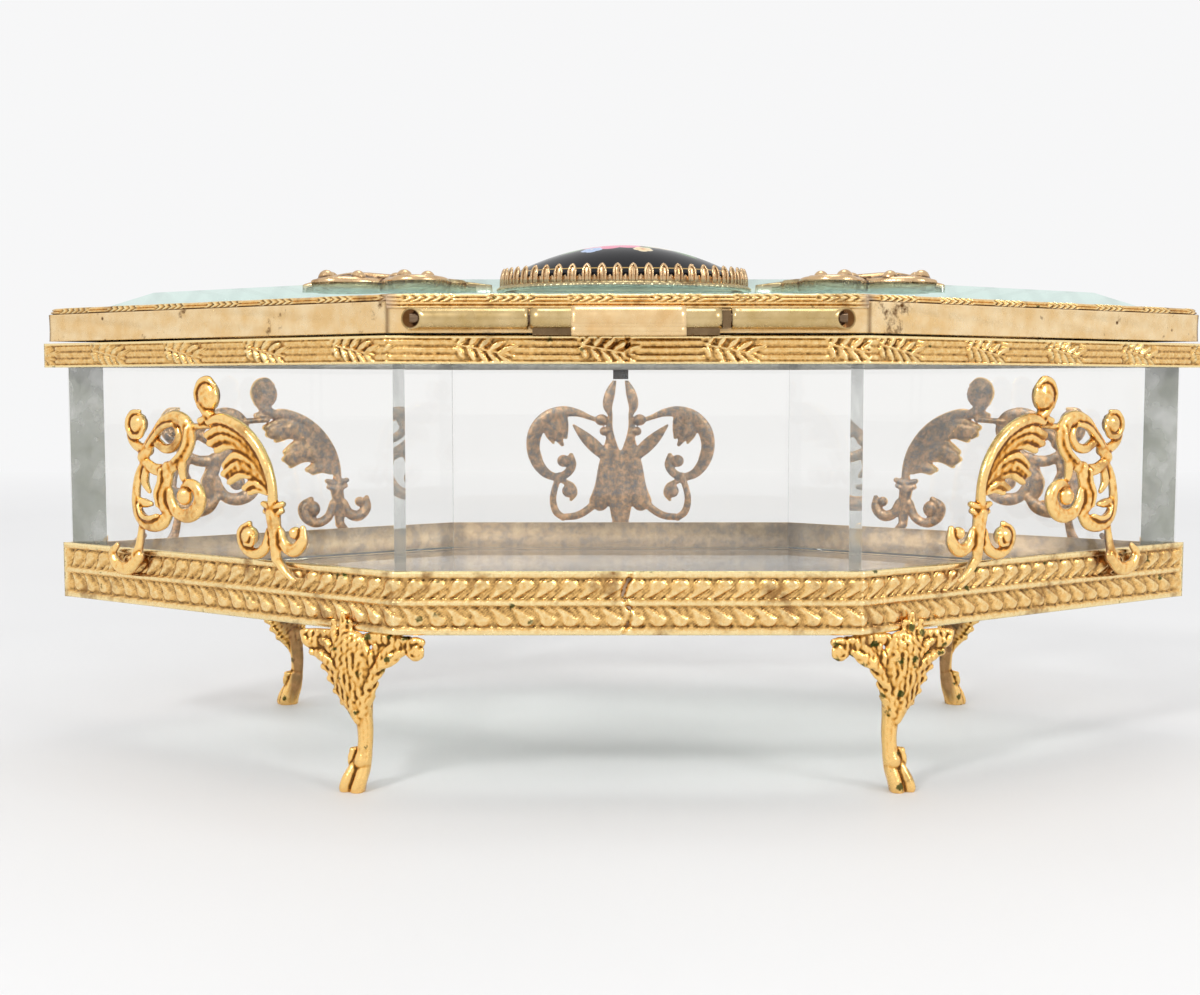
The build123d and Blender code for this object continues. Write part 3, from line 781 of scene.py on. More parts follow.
@dataclass(frozen=True)
class BaseStrip:
    """Stamped strip with two rows of gadroons about a raised ridge, and the flange under the floor."""

    pitch: float = 3.58
    step: float = 0.27
    wall: float = 0.86
    flange: float = 5.9
    flange_thickness: float = 0.76
    ground: float = 0.62
    stand: float = 0.60
    fillet: float = 1.2
    middle: float = 0.9
    bulb: float = 0.60
    fat: float = 0.43
    tail: float = 0.70
    plain_tip: float = 1.2
    seam_depth: float = 0.45
    seam_half: float = 0.55

    def row(self, distance: np.ndarray, way: np.ndarray) -> np.ndarray:
        """Height of one row of gadroons, 0 on the ground and 1 on the bulbs.

        A gadroon is a teardrop: its bulb lies at the share bulb of the way from the ridge to the
        outer fillet, and its tail leans back along the strip towards the ridge. Its section is a
        round lobe, and a thin rib runs between two gadroons.

        Args:
            distance: distance along the side.
            way: share of the way from the ridge to the outer fillet.

        Returns:
            Values from 0 to 1.
        """
        near = (way / self.bulb).clip(0, 1)
        cap = (1 - ((way - self.bulb) / (1 - self.bulb)).clip(0, 1) ** 2) ** 0.5
        half = self.fat * np.where(way < self.bulb, 0.16 + 0.84 * near**0.9, cap).clip(0.02)
        phase = distance / self.pitch + self.tail * (1 - near) ** 1.25
        off = np.abs(phase - np.round(phase))
        lobe = (1 - (off / half) ** 2).clip(0) ** 0.55 * (half / self.fat) ** 0.6
        rib = 0.42 * (1 - ((off - 0.5) / 0.10) ** 2).clip(0) * (1 - 0.6 * way)
        return np.maximum(lobe, rib)

    def relief(self, distance: np.ndarray, rise: np.ndarray, height: float) -> np.ndarray:
        """Inset of the outer face: fillets, ridge, and the two rows mirrored about the ridge."""
        half = height / 2
        reach = half - self.middle / 2 - self.fillet
        way = ((np.abs(rise - half) - self.middle / 2) / reach).clip(0, 1)
        carved = (np.abs(rise - half) > self.middle / 2) & (np.abs(rise - half) < half - self.fillet)
        inset = np.where(carved, self.ground - self.stand * self.row(distance, way), 0.0)
        edges = [0.0, self.fillet, half - self.middle / 2, half + self.middle / 2, height - self.fillet, height]
        for start, end in zip(edges[::2], edges[1::2]):
            centre, span = (start + end) / 2, (end - start) / 2
            bulge = (1 - ((rise - centre) / span) ** 2).clip(0)
            inside = (rise >= start) & (rise <= end)
            inset = np.where(inside, 0.20 * (1 - bulge**0.5), inset)
        return inset

    def build(self, finish: bpy.types.Material) -> None:
        """Makes the strip in place of base_frame, dark inside in its back colours, and dark at the seam in the middle
        of the back, where the hollow colour paints shade into the dent.
        """
        low, high = in_mm("base_frame")
        foot, top = low[2], high[2]
        side, share, distance = PLAN.around(self.step)
        rise = np.linspace(0, top - foot, 44)
        plain = (PLAN.from_tips(side, share) / self.plain_tip).clip(0, 1)
        outer = plain[:, None] * self.relief(distance[:, None], rise[None, :], top - foot)
        off_seam = distance[:, None] - distance[side == 0].max() / 2 - 0.6 * np.sin((foot + rise[None, :]) * 0.9)
        seam = self.seam_depth * (1 - (off_seam / self.seam_half) ** 2).clip(0) * (side == 0)[:, None]
        outer = outer + seam
        rest = [(self.wall, top), (self.wall, foot + 5.0), (self.wall, foot + self.flange_thickness),
                (self.flange / 2, foot + self.flange_thickness), (self.flange, foot + self.flange_thickness),
                (self.flange, foot), (self.flange / 2, foot), (self.wall, foot)]
        points, faces = moulded(side, share, outer, foot + rise, rest)
        mesh = worn_and_shaded("base_strip", points, faces, inner_faces_mask(len(side), len(rise), len(rest)))
        dressed("base_strip", mesh, finish, Body.CASKET, Slot.GILT, "base_frame")


@dataclass(frozen=True)
class Laurel:
    """Sprig of laurel stamped across the reeds: pointed leaves set off a stem that leans down to the right."""

    half_length: float = 4.3
    leaf_reach: float = 1.4
    leaf_width: float = 0.50
    pairs: int = 5
    splay: float = 0.85
    fan: float = 0.7
    lean: float = 0.20

    def stand(self, along: np.ndarray, up: np.ndarray) -> np.ndarray:
        """How far the sprig stands out, 0 off it and 1 on its crests.

        Each leaf is a pointed oval dome turned off the stem, grooved along its middle; the stem is a
        thin ridge, three berries sit at its end, and the highest of all wins.

        Args:
            along: distance from the sprig's middle.
            up: height above the strip's middle.

        Returns:
            Values from 0 to 1.
        """
        up = up + self.lean * along
        best = 0.8 * (1 - (up / 0.26) ** 2).clip(0) * (np.abs(along) < self.half_length)
        for index in range(self.pairs):
            splay = self.splay + self.fan * (0.5 - index / (self.pairs - 1))
            reach = self.leaf_reach * (0.8 + 0.5 * index / (self.pairs - 1))
            for hand in (-1.0, 1.0):
                root = -self.half_length + (index + 0.1 + 0.25 * (hand > 0)) * 1.75 * self.half_length / self.pairs
                x = along - root - reach * math.cos(splay)
                y = hand * up - reach * math.sin(splay) - 0.05
                run = (x * math.cos(splay) + y * math.sin(splay)) / reach
                off = y * math.cos(splay) - x * math.sin(splay)
                half = self.leaf_width * (1 - run**2).clip(0.001)
                dome = np.where(np.abs(run) < 1, 1 - (off / half) ** 2, 0.0)
                groove = 0.30 * (1 - (off / 0.13) ** 2).clip(0)
                best = np.maximum(best, dome.clip(0) ** 0.5 - groove * (dome > 0))
        for place, offset in ((0.0, -0.75), (-0.35, 0.15), (0.2, 1.0)):
            berry = 1 - ((along + self.half_length + place) ** 2 + (up - offset) ** 2) / 0.24
            best = np.maximum(best, 0.9 * berry.clip(0) ** 0.5)
        return best


@dataclass(frozen=True)
class UpperRim:
    """Reeded strip over the walls' top edges, its reeds broken by sprigs of laurel."""

    step: float = 0.23
    pitch: float = 19.5
    starts: tuple = (15.3, 6.3, 17.6, 15.3, 6.3, 17.6)
    reeds: int = 3
    reed_stand: float = 0.42
    leaf_stand: float = 0.60
    ground: float = 0.46
    edge: float = 0.42
    plain_tip: float = 1.2
    seam_depth: float = 0.5
    seam_half: float = 0.45
    laurel: Laurel = field(default_factory=Laurel)

    def relief(self, side: np.ndarray, distance: np.ndarray, rise: np.ndarray, height: float) -> np.ndarray:
        """Inset of the outer face: reeds between two plain edges, with sprigs at an even pitch on each side."""
        start = np.array(self.starts)[side]
        off = (distance - start + self.pitch / 2) % self.pitch - self.pitch / 2
        phase = (rise - self.edge) / (height - 2 * self.edge) * self.reeds
        reed = lobes(phase, np.full_like(phase, 0.94), 0.5)
        sprig = self.laurel.stand(off + 0.0 * rise, rise - height / 2)
        beyond = ((np.abs(off) - self.laurel.half_length + 0.6) / 1.2).clip(0, 1)
        raised = np.maximum(self.leaf_stand * sprig, self.reed_stand * reed * beyond)
        inside = (rise > self.edge) & (rise < height - self.edge)
        edge_bulge = np.minimum(rise, height - rise) / self.edge
        rounded = 0.12 * (1 - (1 - (2 * edge_bulge.clip(0, 1) - 1) ** 2).clip(0) ** 0.5)
        return np.where(inside, self.ground - raised, rounded)

    def build(self, finish: bpy.types.Material) -> None:
        """Makes the rim in place of top_rim."""
        low, high = in_mm("top_rim")
        foot, top = low[2], high[2]
        outer_inset = PLAN.half_depth - high[1]
        glass_outer = PLAN.half_depth - in_mm("glass_front")[1][1]
        glass_top = in_mm("glass_front")[1][2]
        wall = in_mm("glass_front")[1][1] - in_mm("glass_front")[0][1]
        side, share, distance = PLAN.around(self.step)
        rise = np.linspace(0, top - foot, 30)
        plain = (PLAN.from_tips(side, share) / self.plain_tip).clip(0, 1)
        off_seam = np.abs(distance - distance[side == 0].max() / 2)
        seam = self.seam_depth * (1 - (off_seam / self.seam_half) ** 2).clip(0) * (side == 0)
        outer = outer_inset + seam[:, None] + plain[:, None] * self.relief(
            side[:, None], distance[:, None], rise[None, :], top - foot)
        gap = 0.04
        rest = [(glass_outer + wall / 2, top), (glass_outer + wall, top), (glass_outer + wall, glass_top + gap),
                (glass_outer - gap, glass_top + gap), (glass_outer - gap, foot + 1.0), (glass_outer - gap, foot)]
        points, faces = moulded(side, share, outer, foot + rise, rest)
        mesh = worn_and_shaded("upper_rim", points, faces, inner_faces_mask(len(side), len(rise), len(rest)))
        dressed("upper_rim", mesh, finish, Body.CASKET, Slot.GILT, "top_rim")


@dataclass(frozen=True)
class LidBand:
    """Plain band with a shelf for the glass and a thin stamped lip, round shouldered behind the hinge."""

    step: float = 0.3
    lip_height: float = 1.25
    lip_inset: float = 0.2
    lip_width: float = 2.2
    wall: float = 0.9
    shelf_rise: float = 1.0
    shelf_thickness: float = 0.6
    shelf_width: float = 3.2
    leaf_pitch: float = 13.0
    reeds: int = 2
    back_reeds: int = 4
    back_lip_height: float = 2.45
    back_stand: float = 0.45

    def lip_relief(self, distance: np.ndarray, share: np.ndarray, reeds: np.ndarray) -> np.ndarray:
        """Inset of the lip: reeds whose top two are broken by stretches of slanted leaves."""
        leafy = 1 - (1 - share) * reeds / 2
        in_leaf = lobes(distance / self.leaf_pitch, 0.6 + 0 * distance, 0.3)
        reed = lobes(reeds * share, 0.95 + 0 * share * reeds, 0.6)
        leaves = lobes(distance / 1.55 + 1.5 * np.abs(leafy - 0.5), 0.8 + 0 * leafy, 0.6)
        stamped = 0.30 * (1 - np.where((in_leaf > 0.4) & (leafy > 0), leaves, reed))
        return stamped

    def build(self, band_finish: bpy.types.Material, lip_finish: bpy.types.Material) -> None:
        """Makes the band and the lip in place of lid_frame."""
        low, high = in_mm("lid_frame")
        foot, top = low[2], high[2]
        band_top = top - self.lip_height
        face = PLAN.half_depth - high[1]
        side, share, distance = PLAN.around(self.step)
        shelf_foot = foot + self.shelf_rise
        shelf_top = shelf_foot + self.shelf_thickness - 0.03
        inner = face + self.wall
        rise = np.linspace(foot, band_top, 26)
        dents = 0.05 + 0.04 * np.sin(distance[:, None] * 0.21 + 2.0 * rise[None, :]) * np.sin(distance[:, None] * 0.083)
        dents = dents * np.sin(np.pi * (rise - foot) / (band_top - foot))[None, :]
        rest = [(face + 0.12, band_top + 0.1), (inner, band_top + 0.1), (inner, shelf_top),
                (inner + self.shelf_width, shelf_top), (inner + self.shelf_width, shelf_foot), (inner, shelf_foot),
                (inner, foot), (face + 0.12, foot)]
        points, faces = moulded(side, share, face + dents, rise, rest)
        # Painted shade: near the corners the band takes the dark stain colour, standing for the notches cut there.
        tip = PLAN.corners(face)
        near = np.linalg.norm(points[:, None, :2] - tip[None, :, :], axis=2).min(axis=1)
        patina_and_painted_light = np.maximum(inner_faces_mask(len(side), len(rise), len(rest)), (0.8 - near / 0.8).clip(0))
        mesh = worn_and_shaded("lid_band", points, faces, patina_and_painted_light)
        dressed("lid_band", mesh, band_finish, Body.LID, Slot.PLAIN, "lid_frame")

        lip_share = np.linspace(0, 1, 30)
        lip_face = face + self.lip_inset
        at_back = (side == 0)[:, None]
        reeds = np.where(at_back, self.back_reeds, self.reeds)
        lip_outer = lip_face + self.lip_relief(distance[:, None], lip_share[None, :], reeds)
        lip_outer = lip_outer + 0.45 * lip_share[None, :] ** 3 - self.back_stand * at_back
        rest = [(lip_face + 1.2, top - 0.05), (lip_face + self.lip_width, top - 0.35),
                (lip_face + self.lip_width, band_top + 0.12), (lip_face + 0.6, band_top + 0.12)]
        lip_foot = np.where(at_back, top - self.back_lip_height, band_top + 0.12)
        lip_rise = lip_foot + lip_share[None, :] * (top - lip_foot)
        points, faces = moulded(side, share, lip_outer, lip_rise, rest)
        # Painted shade: near the corners the lip takes the back colours for the corner notches, and its lowest part is
        # half darkened where it meets the band.
        corner = PLAN.corners(face)
        near = np.linalg.norm(points[:, None, :2] - corner[None, :, :], axis=2).min(axis=1)
        lip_foot_shade = np.tile(np.concatenate([0.5 * (lip_share < 0.12), [0.2] * len(rest)]), len(side))
        patina_and_painted_light = np.maximum((1.2 - near / 1.6).clip(0, 0.95), lip_foot_shade)
        mesh = worn_and_shaded("lid_lip", points, faces, patina_and_painted_light)
        dressed("lid_lip", mesh, lip_finish, Body.LID, Slot.GILT)


# ---------------------------------------------------------------- glass


@dataclass(frozen=True)
class GlassBody:
    """Thick glass walls mitred into one hexagonal tube, the glass floor, and the cement in the joints."""

    gap: float = 0.03
    arris: float = 0.25
    names: tuple = ("glass_back", "glass_back_right", "glass_front_right", "glass_front", "glass_front_left",
                    "glass_back_left")

    def build(self, finish: bpy.types.Material, cement: bpy.types.Material, ground: bpy.types.Material) -> None:
        """Makes the tube in place of the six CAD walls, the floor plate, and the joints, ground at the tips."""
        low, high = in_mm("glass_front")
        outer_inset = PLAN.half_depth - high[1]
        inner_inset = PLAN.half_depth - low[1]
        bottom, top = low[2] + self.gap, high[2] - self.gap
        arris = self.arris
        section = [(outer_inset, bottom + arris), (outer_inset, top - arris), (outer_inset + arris, top),
                   (inner_inset - arris, top), (inner_inset, top - arris), (inner_inset, bottom + arris),
                   (inner_inset - arris, bottom), (outer_inset + arris, bottom)]
        tube = hexagon_sweep("glass_walls", section, True)
        dressed("glass_walls", tube, finish, Body.CASKET, Slot.GLASS, *self.names)
        floor_low, floor_high = in_mm("glass_floor")
        edge = outer_inset + self.gap
        foot, head = floor_low[2] + self.gap, floor_high[2] - self.gap
        section = [(edge + arris, foot), (edge, foot + arris), (edge, head - arris), (edge + arris, head)]
        floor = hexagon_sweep("glass_floor_plate", section, False)
        dressed("glass_floor_plate", floor, finish, Body.CASKET, Slot.GLASS, "glass_floor")
        outer, inner = PLAN.corners(outer_inset + 0.15), PLAN.corners(inner_inset - 0.15)
        for corner in range(6):
            run = inner[corner] - outer[corner]
            beside = np.array([-run[1], run[0]]) / np.linalg.norm(run) * 0.04
            quad = np.array([outer[corner] - beside, outer[corner] + beside, inner[corner] + beside,
                             inner[corner] - beside])
            points = np.concatenate([np.column_stack([quad, np.full(4, z)]) for z in (bottom + 0.3, top - 0.3)])
            faces = np.array([[3, 2, 1, 0], [4, 5, 6, 7], [0, 1, 5, 4], [1, 2, 6, 5], [2, 3, 7, 6], [3, 0, 4, 7]])
            mesh = as_mesh("joint", points, faces)
            mesh.shade_flat()
            if signed_volume(points, faces) < 0:
                mesh.flip_normals()
            joint = ground if corner in (2, 5) else cement
            dressed(f"glass_joint_{corner}", mesh, joint, Body.CASKET, Slot.GLASS)


@dataclass(frozen=True)
class LidPlate:
    """Thick lid glass with a wide bevel, each facet flat."""

    clearance: float = 0.1
    edge: float = 2.0
    bevel: float = 10.0
    arris: float = 0.25

    def build(self, finish: bpy.types.Material) -> None:
        """Makes the plate in place of lid_glass."""
        low, high = in_mm("lid_glass")
        rim = PLAN.half_depth - high[1]
        foot, top, arris = low[2] + 0.02, high[2], self.arris
        section = [(rim + arris, foot), (rim, foot + arris), (rim, foot + self.edge - arris / 2),
                   (rim + arris, foot + self.edge + arris / 2), (rim + self.bevel, top)]
        mesh = hexagon_sweep("lid_plate", section, False)
        dressed("lid_plate", mesh, finish, Body.LID, Slot.LID_GLASS, "lid_glass")


# ---------------------------------------------------------------- castings


def unpolished_and_shaded_back(lift: np.ndarray) -> np.ndarray:
    """Back mask of a casting: 1 on its back, fading to 0 a little in front of its middle plane; the back colours there
    are partly metal never polished and partly painted shade.
    """
    return (0.75 - lift / 0.5).clip(0, 1)


@dataclass(frozen=True)
class Place:
    """Where a drawing stands: origin, the directions of its x, y and lift, and whether that turns it over."""

    origin: tuple
    x: tuple
    y: tuple
    lift: tuple

    def put(self, shape: Mesh) -> Mesh:
        """The drawing's points in the casket's frame, its faces turned where the place mirrors it."""
        points, faces = shape
        basis = np.array([self.x, self.y, self.lift], dtype=float)
        moved = points @ basis + np.array(self.origin)
        return moved, faces if np.linalg.det(basis) > 0 else faces[:, ::-1]

    def flipped(self, axis: int) -> "Place":
        """The place mirrored across X (0) or Y (1)."""
        sign = np.array([-1.0 if i == axis else 1.0 for i in range(3)])
        return Place(*(tuple(np.array(v) * sign) for v in (self.origin, self.x, self.y, self.lift)))


@dataclass(frozen=True)
class ScrollCasting:
    """Openwork casting of scrolls and an acanthus leaf, drawn from the corner along the side."""

    voxel: float = 0.2
    half_depth: float = 1.2
    sink: float = 0.3
    roughness: float = 0.02
    fuller: float = 1.3

    def leaf(self) -> list[Mesh]:
        """The acanthus leaf: ridges that sweep from three scallops down to the stem, over thin plates."""
        ridges = [
            ([(40.3, 21.6), (37.0, 22.7), (32.0, 21.3), (28.1, 17.6), (25.3, 12.4)], [1.5, 1.7, 1.5, 1.2, 0.6]),
            ([(39.8, 20.2), (35.9, 21.3), (31.2, 19.6), (27.5, 15.9), (25.1, 12.0)], [1.4, 1.6, 1.4, 1.0, 0.5]),
            ([(38.0, 19.0), (34.6, 19.9), (30.6, 18.3), (27.2, 14.9)], [1.3, 1.4, 1.2, 0.6]),
            ([(36.1, 16.5), (33.6, 18.2), (30.0, 17.2), (27.0, 14.2), (25.0, 11.5)], [1.4, 1.6, 1.4, 1.0, 0.5]),
            ([(36.4, 15.0), (33.4, 16.6), (29.8, 15.8), (26.8, 13.4)], [1.3, 1.5, 1.2, 0.6]),
            ([(35.0, 13.6), (32.2, 14.9), (29.2, 14.4), (26.6, 12.6)], [1.2, 1.4, 1.1, 0.5]),
            ([(31.4, 12.7), (29.6, 13.6), (27.2, 12.9), (25.2, 11.2)], [1.2, 1.4, 1.1, 0.5]),
            ([(30.2, 11.9), (28.4, 12.4), (26.4, 11.7)], [1.0, 1.1, 0.5]),
        ]
        plates = [
            limb([(38.9, 20.6), (35.0, 21.0), (30.8, 19.2), (27.4, 15.6)], [3.0, 3.8, 3.2, 1.8], 0.36, 0.22),
            limb([(35.2, 15.1), (32.6, 16.5), (29.6, 15.9), (27.0, 13.8)], [3.0, 3.6, 3.0, 1.6], 0.36, 0.22),
            limb([(30.6, 12.6), (28.8, 13.1), (26.4, 12.3)], [1.8, 2.2, 1.4], 0.40, 0.22),
        ]
        return plates + [limb(path, widths, 0.72, 0.52 - 0.4 * np.linspace(0, 1, len(path))) for path, widths in ridges]

    def shells(self) -> list[Mesh]:
        """Limbs, leaf lobes and beads of the casting."""
        return self.leaf() + [
            limb([(40.0, 23.9), (37.2, 24.5), (34.6, 24.0), (31.1, 22.4), (28.1, 19.8), (25.9, 16.4), (24.9, 13.2),
                  (24.8, 10.6)], [1.4, 2.0, 2.1, 2.0, 1.9, 1.8, 1.7, 1.9], 0.75, 0.45),
            limb([(41.6, 29.3), (41.9, 27.4), (40.6, 25.5), (38.6, 24.3)], [1.6, 2.1, 2.2, 1.9], 0.8, 0.15),
            bead(40.3, 28.4, 0.1, (2.45, 2.75, 1.25)),
            limb([(42.2, 26.6), (42.8, 28.6), (42.0, 30.6), (40.2, 31.3), (38.6, 30.3)], [1.2, 1.5, 1.5, 1.3, 0.9],
                 0.8, 0.4),
            limb([(42.3, 24.1), (40.2, 24.6), (37.8, 24.2)], [1.3, 1.4, 1.4], 0.9, 0.3),
            limb([(45.6, 22.9), (42.8, 23.1), (40.2, 23.3)], [1.3, 1.2, 1.3], 0.9, -0.2),
            limb([(27.2, 10.2), (25.0, 9.7), (22.8, 10.3)], [1.1, 1.4, 1.1], 1.1, 0.2),
            limb([(27.0, 8.9), (25.0, 8.5), (23.1, 9.1)], [1.0, 1.3, 1.0], 1.1, 0.1),
            limb([(25.1, 8.6), (24.8, 6.4), (24.6, 3.8), (24.5, 1.0)], [3.0, 2.7, 2.4, 2.0], 0.62, 0.2),
            limb([(24.4, 0.8), (22.4, -1.3), (20.6, -2.5)], [1.9, 1.5, 0.9], 0.8, 0.0),
            limb([(26.0, 5.6), (27.2, 2.6), (29.8, 1.5), (32.2, 2.8), (32.7, 5.0), (30.9, 6.6)],
                 [1.6, 2.0, 2.0, 2.1, 2.1, 1.2], 0.7, 0.1),
            bead(30.6, 4.5, 0.2, (1.75, 1.75, 1.2)),
            limb([(29.0, 4.4), (29.6, 3.2), (31.0, 3.2)], [0.8, 1.0, 0.8], 0.9, 0.8),
            limb([(23.6, 5.6), (22.5, 3.3), (20.4, 2.6), (18.5, 4.2), (18.4, 6.4)], [1.6, 2.2, 2.4, 2.2, 1.2], 0.7, 0.0),
            bead(19.9, 5.6, 0.2, (1.1, 1.1, 0.9)),
            bead(58.8, 23.3, 0.0, (1.9, 2.0, 1.2)),
            limb([(57.2, 22.6), (58.2, 21.2), (60.2, 21.3), (61.3, 23.2), (60.2, 25.2), (58.2, 25.6)],
                 [0.9, 1.2, 1.4, 1.4, 1.2, 0.8], 0.8, 0.35),
            limb([(61.5, 22.6), (61.0, 20.6), (59.2, 19.2), (56.4, 18.6)], [1.2, 1.6, 2.0, 2.2], 0.75, 0.0),
            limb([(57.7, 17.4), (56.3, 19.2), (54.2, 21.5), (51.8, 23.8), (48.7, 24.5), (46.2, 23.5), (45.4, 21.3),
                  (46.2, 19.0), (48.2, 17.0), (51.1, 15.4), (54.4, 15.2), (57.3, 16.5)],
                 [2.6, 2.4, 2.2, 2.4, 2.7, 2.9, 3.0, 2.8, 2.5, 2.4, 2.3, 2.0], 0.52, 0.2),
            limb([(55.6, 19.4), (53.6, 21.3), (51.4, 22.8), (49.2, 23.3)], [0.8, 1.0, 1.1, 0.8], 0.9, 0.75),
            limb([(45.3, 22.6), (45.4, 20.6), (46.6, 18.6), (48.8, 17.0)], [0.7, 1.0, 1.0, 0.8], 0.9, 0.85),
            limb([(53.8, 20.0), (51.9, 19.0), (49.5, 19.4), (48.1, 21.2), (48.8, 22.9)], [1.9, 1.9, 1.8, 1.6, 1.2],
                 0.7, 0.1),
            limb([(51.1, 15.4), (51.5, 13.2), (52.5, 11.3), (52.4, 9.0), (51.2, 7.6)], [2.9, 2.7, 2.9, 2.7, 2.0],
                 0.55, 0.2),
            limb([(52.2, 15.2), (52.5, 13.0), (53.4, 11.0), (53.2, 8.8)], [0.9, 1.1, 1.1, 0.8], 0.9, 0.8),
            limb([(57.4, 16.5), (59.0, 14.2), (59.8, 11.4), (59.9, 8.8), (58.8, 6.4), (56.0, 5.2), (52.8, 5.9),
                  (51.0, 7.8)], [1.7, 1.8, 1.9, 2.1, 2.5, 2.8, 2.8, 2.0], 0.58, 0.1),
            limb([(58.6, 8.6), (57.6, 6.9), (55.6, 6.4), (53.6, 7.0)], [0.7, 1.0, 1.1, 0.8], 0.9, 0.75),
            limb([(56.8, 15.2), (57.3, 12.9), (56.2, 11.2)], [1.4, 1.7, 1.0], 0.7, 0.2),
            limb([(59.3, 9.4), (57.6, 9.0), (55.8, 8.9)], [1.4, 1.8, 1.0], 0.7, 0.1),
            limb([(47.1, 18.0), (47.5, 15.8), (47.2, 13.9)], [1.9, 1.9, 1.5], 0.7, 0.1),
            limb([(47.3, 12.2), (45.6, 12.9), (43.6, 12.0), (42.9, 10.2), (44.1, 8.2), (46.5, 7.2), (49.1, 7.8),
                  (50.5, 9.7), (51.0, 11.4)], [1.4, 2.0, 2.5, 2.8, 2.9, 2.7, 2.4, 2.2, 1.9], 0.55, 0.15),
            bead(46.7, 10.7, 0.2, (1.7, 1.7, 1.1)),
            limb([(58.8, 5.6), (59.1, 3.2), (59.7, 0.8), (60.6, -1.0)], [1.3, 1.6, 1.9, 2.4], 0.7, -0.1),
            limb([(59.6, -0.8), (62.6, -3.2), (65.8, -2.7), (67.0, -0.6), (65.6, 0.9)], [2.4, 2.6, 2.4, 1.9, 1.2],
                 0.62, 0.0),
        ]

    def build(self, finish: bpy.types.Material) -> None:
        """Makes the four castings from one drawing, mirrored to each side."""
        points, faces = fused("scroll", self.shells(), self.voxel)
        points[:, 2] += self.roughness * lumps(points, 1.6, 11)
        points[:, 2] = np.where(points[:, 2] > 0, self.fuller * points[:, 2], points[:, 2])
        points[:, 2] = points[:, 2].clip(-self.half_depth, self.half_depth + 0.7)
        points[:, 1] -= self.sink
        # Back colours on the back: metal never polished, and painted shade on the backs seen through the glass.
        patina_and_painted_light = unpolished_and_shaded_back(points[:, 2])
        strip_top = in_mm("base_frame")[1][2]
        cos, sin = math.cos(PLAN.slant), math.sin(PLAN.slant)
        origin = (PLAN.half_centre + sin * self.half_depth, -PLAN.half_depth - cos * self.half_depth, strip_top)
        right = Place(origin, (cos, sin, 0), (0, 0, 1), (sin, -cos, 0))
        places = {"scroll_back_right": right, "scroll_back_left": right.flipped(0),
                  "scroll_front_right": right.flipped(1), "scroll_front_left": right.flipped(1).flipped(0)}
        for name, place in places.items():
            mesh = worn_and_shaded(name + "_casting", *place.put((points, faces)), patina_and_painted_light)
            dressed(name + "_casting", mesh, finish, Body.CASKET, Slot.GILT, name)


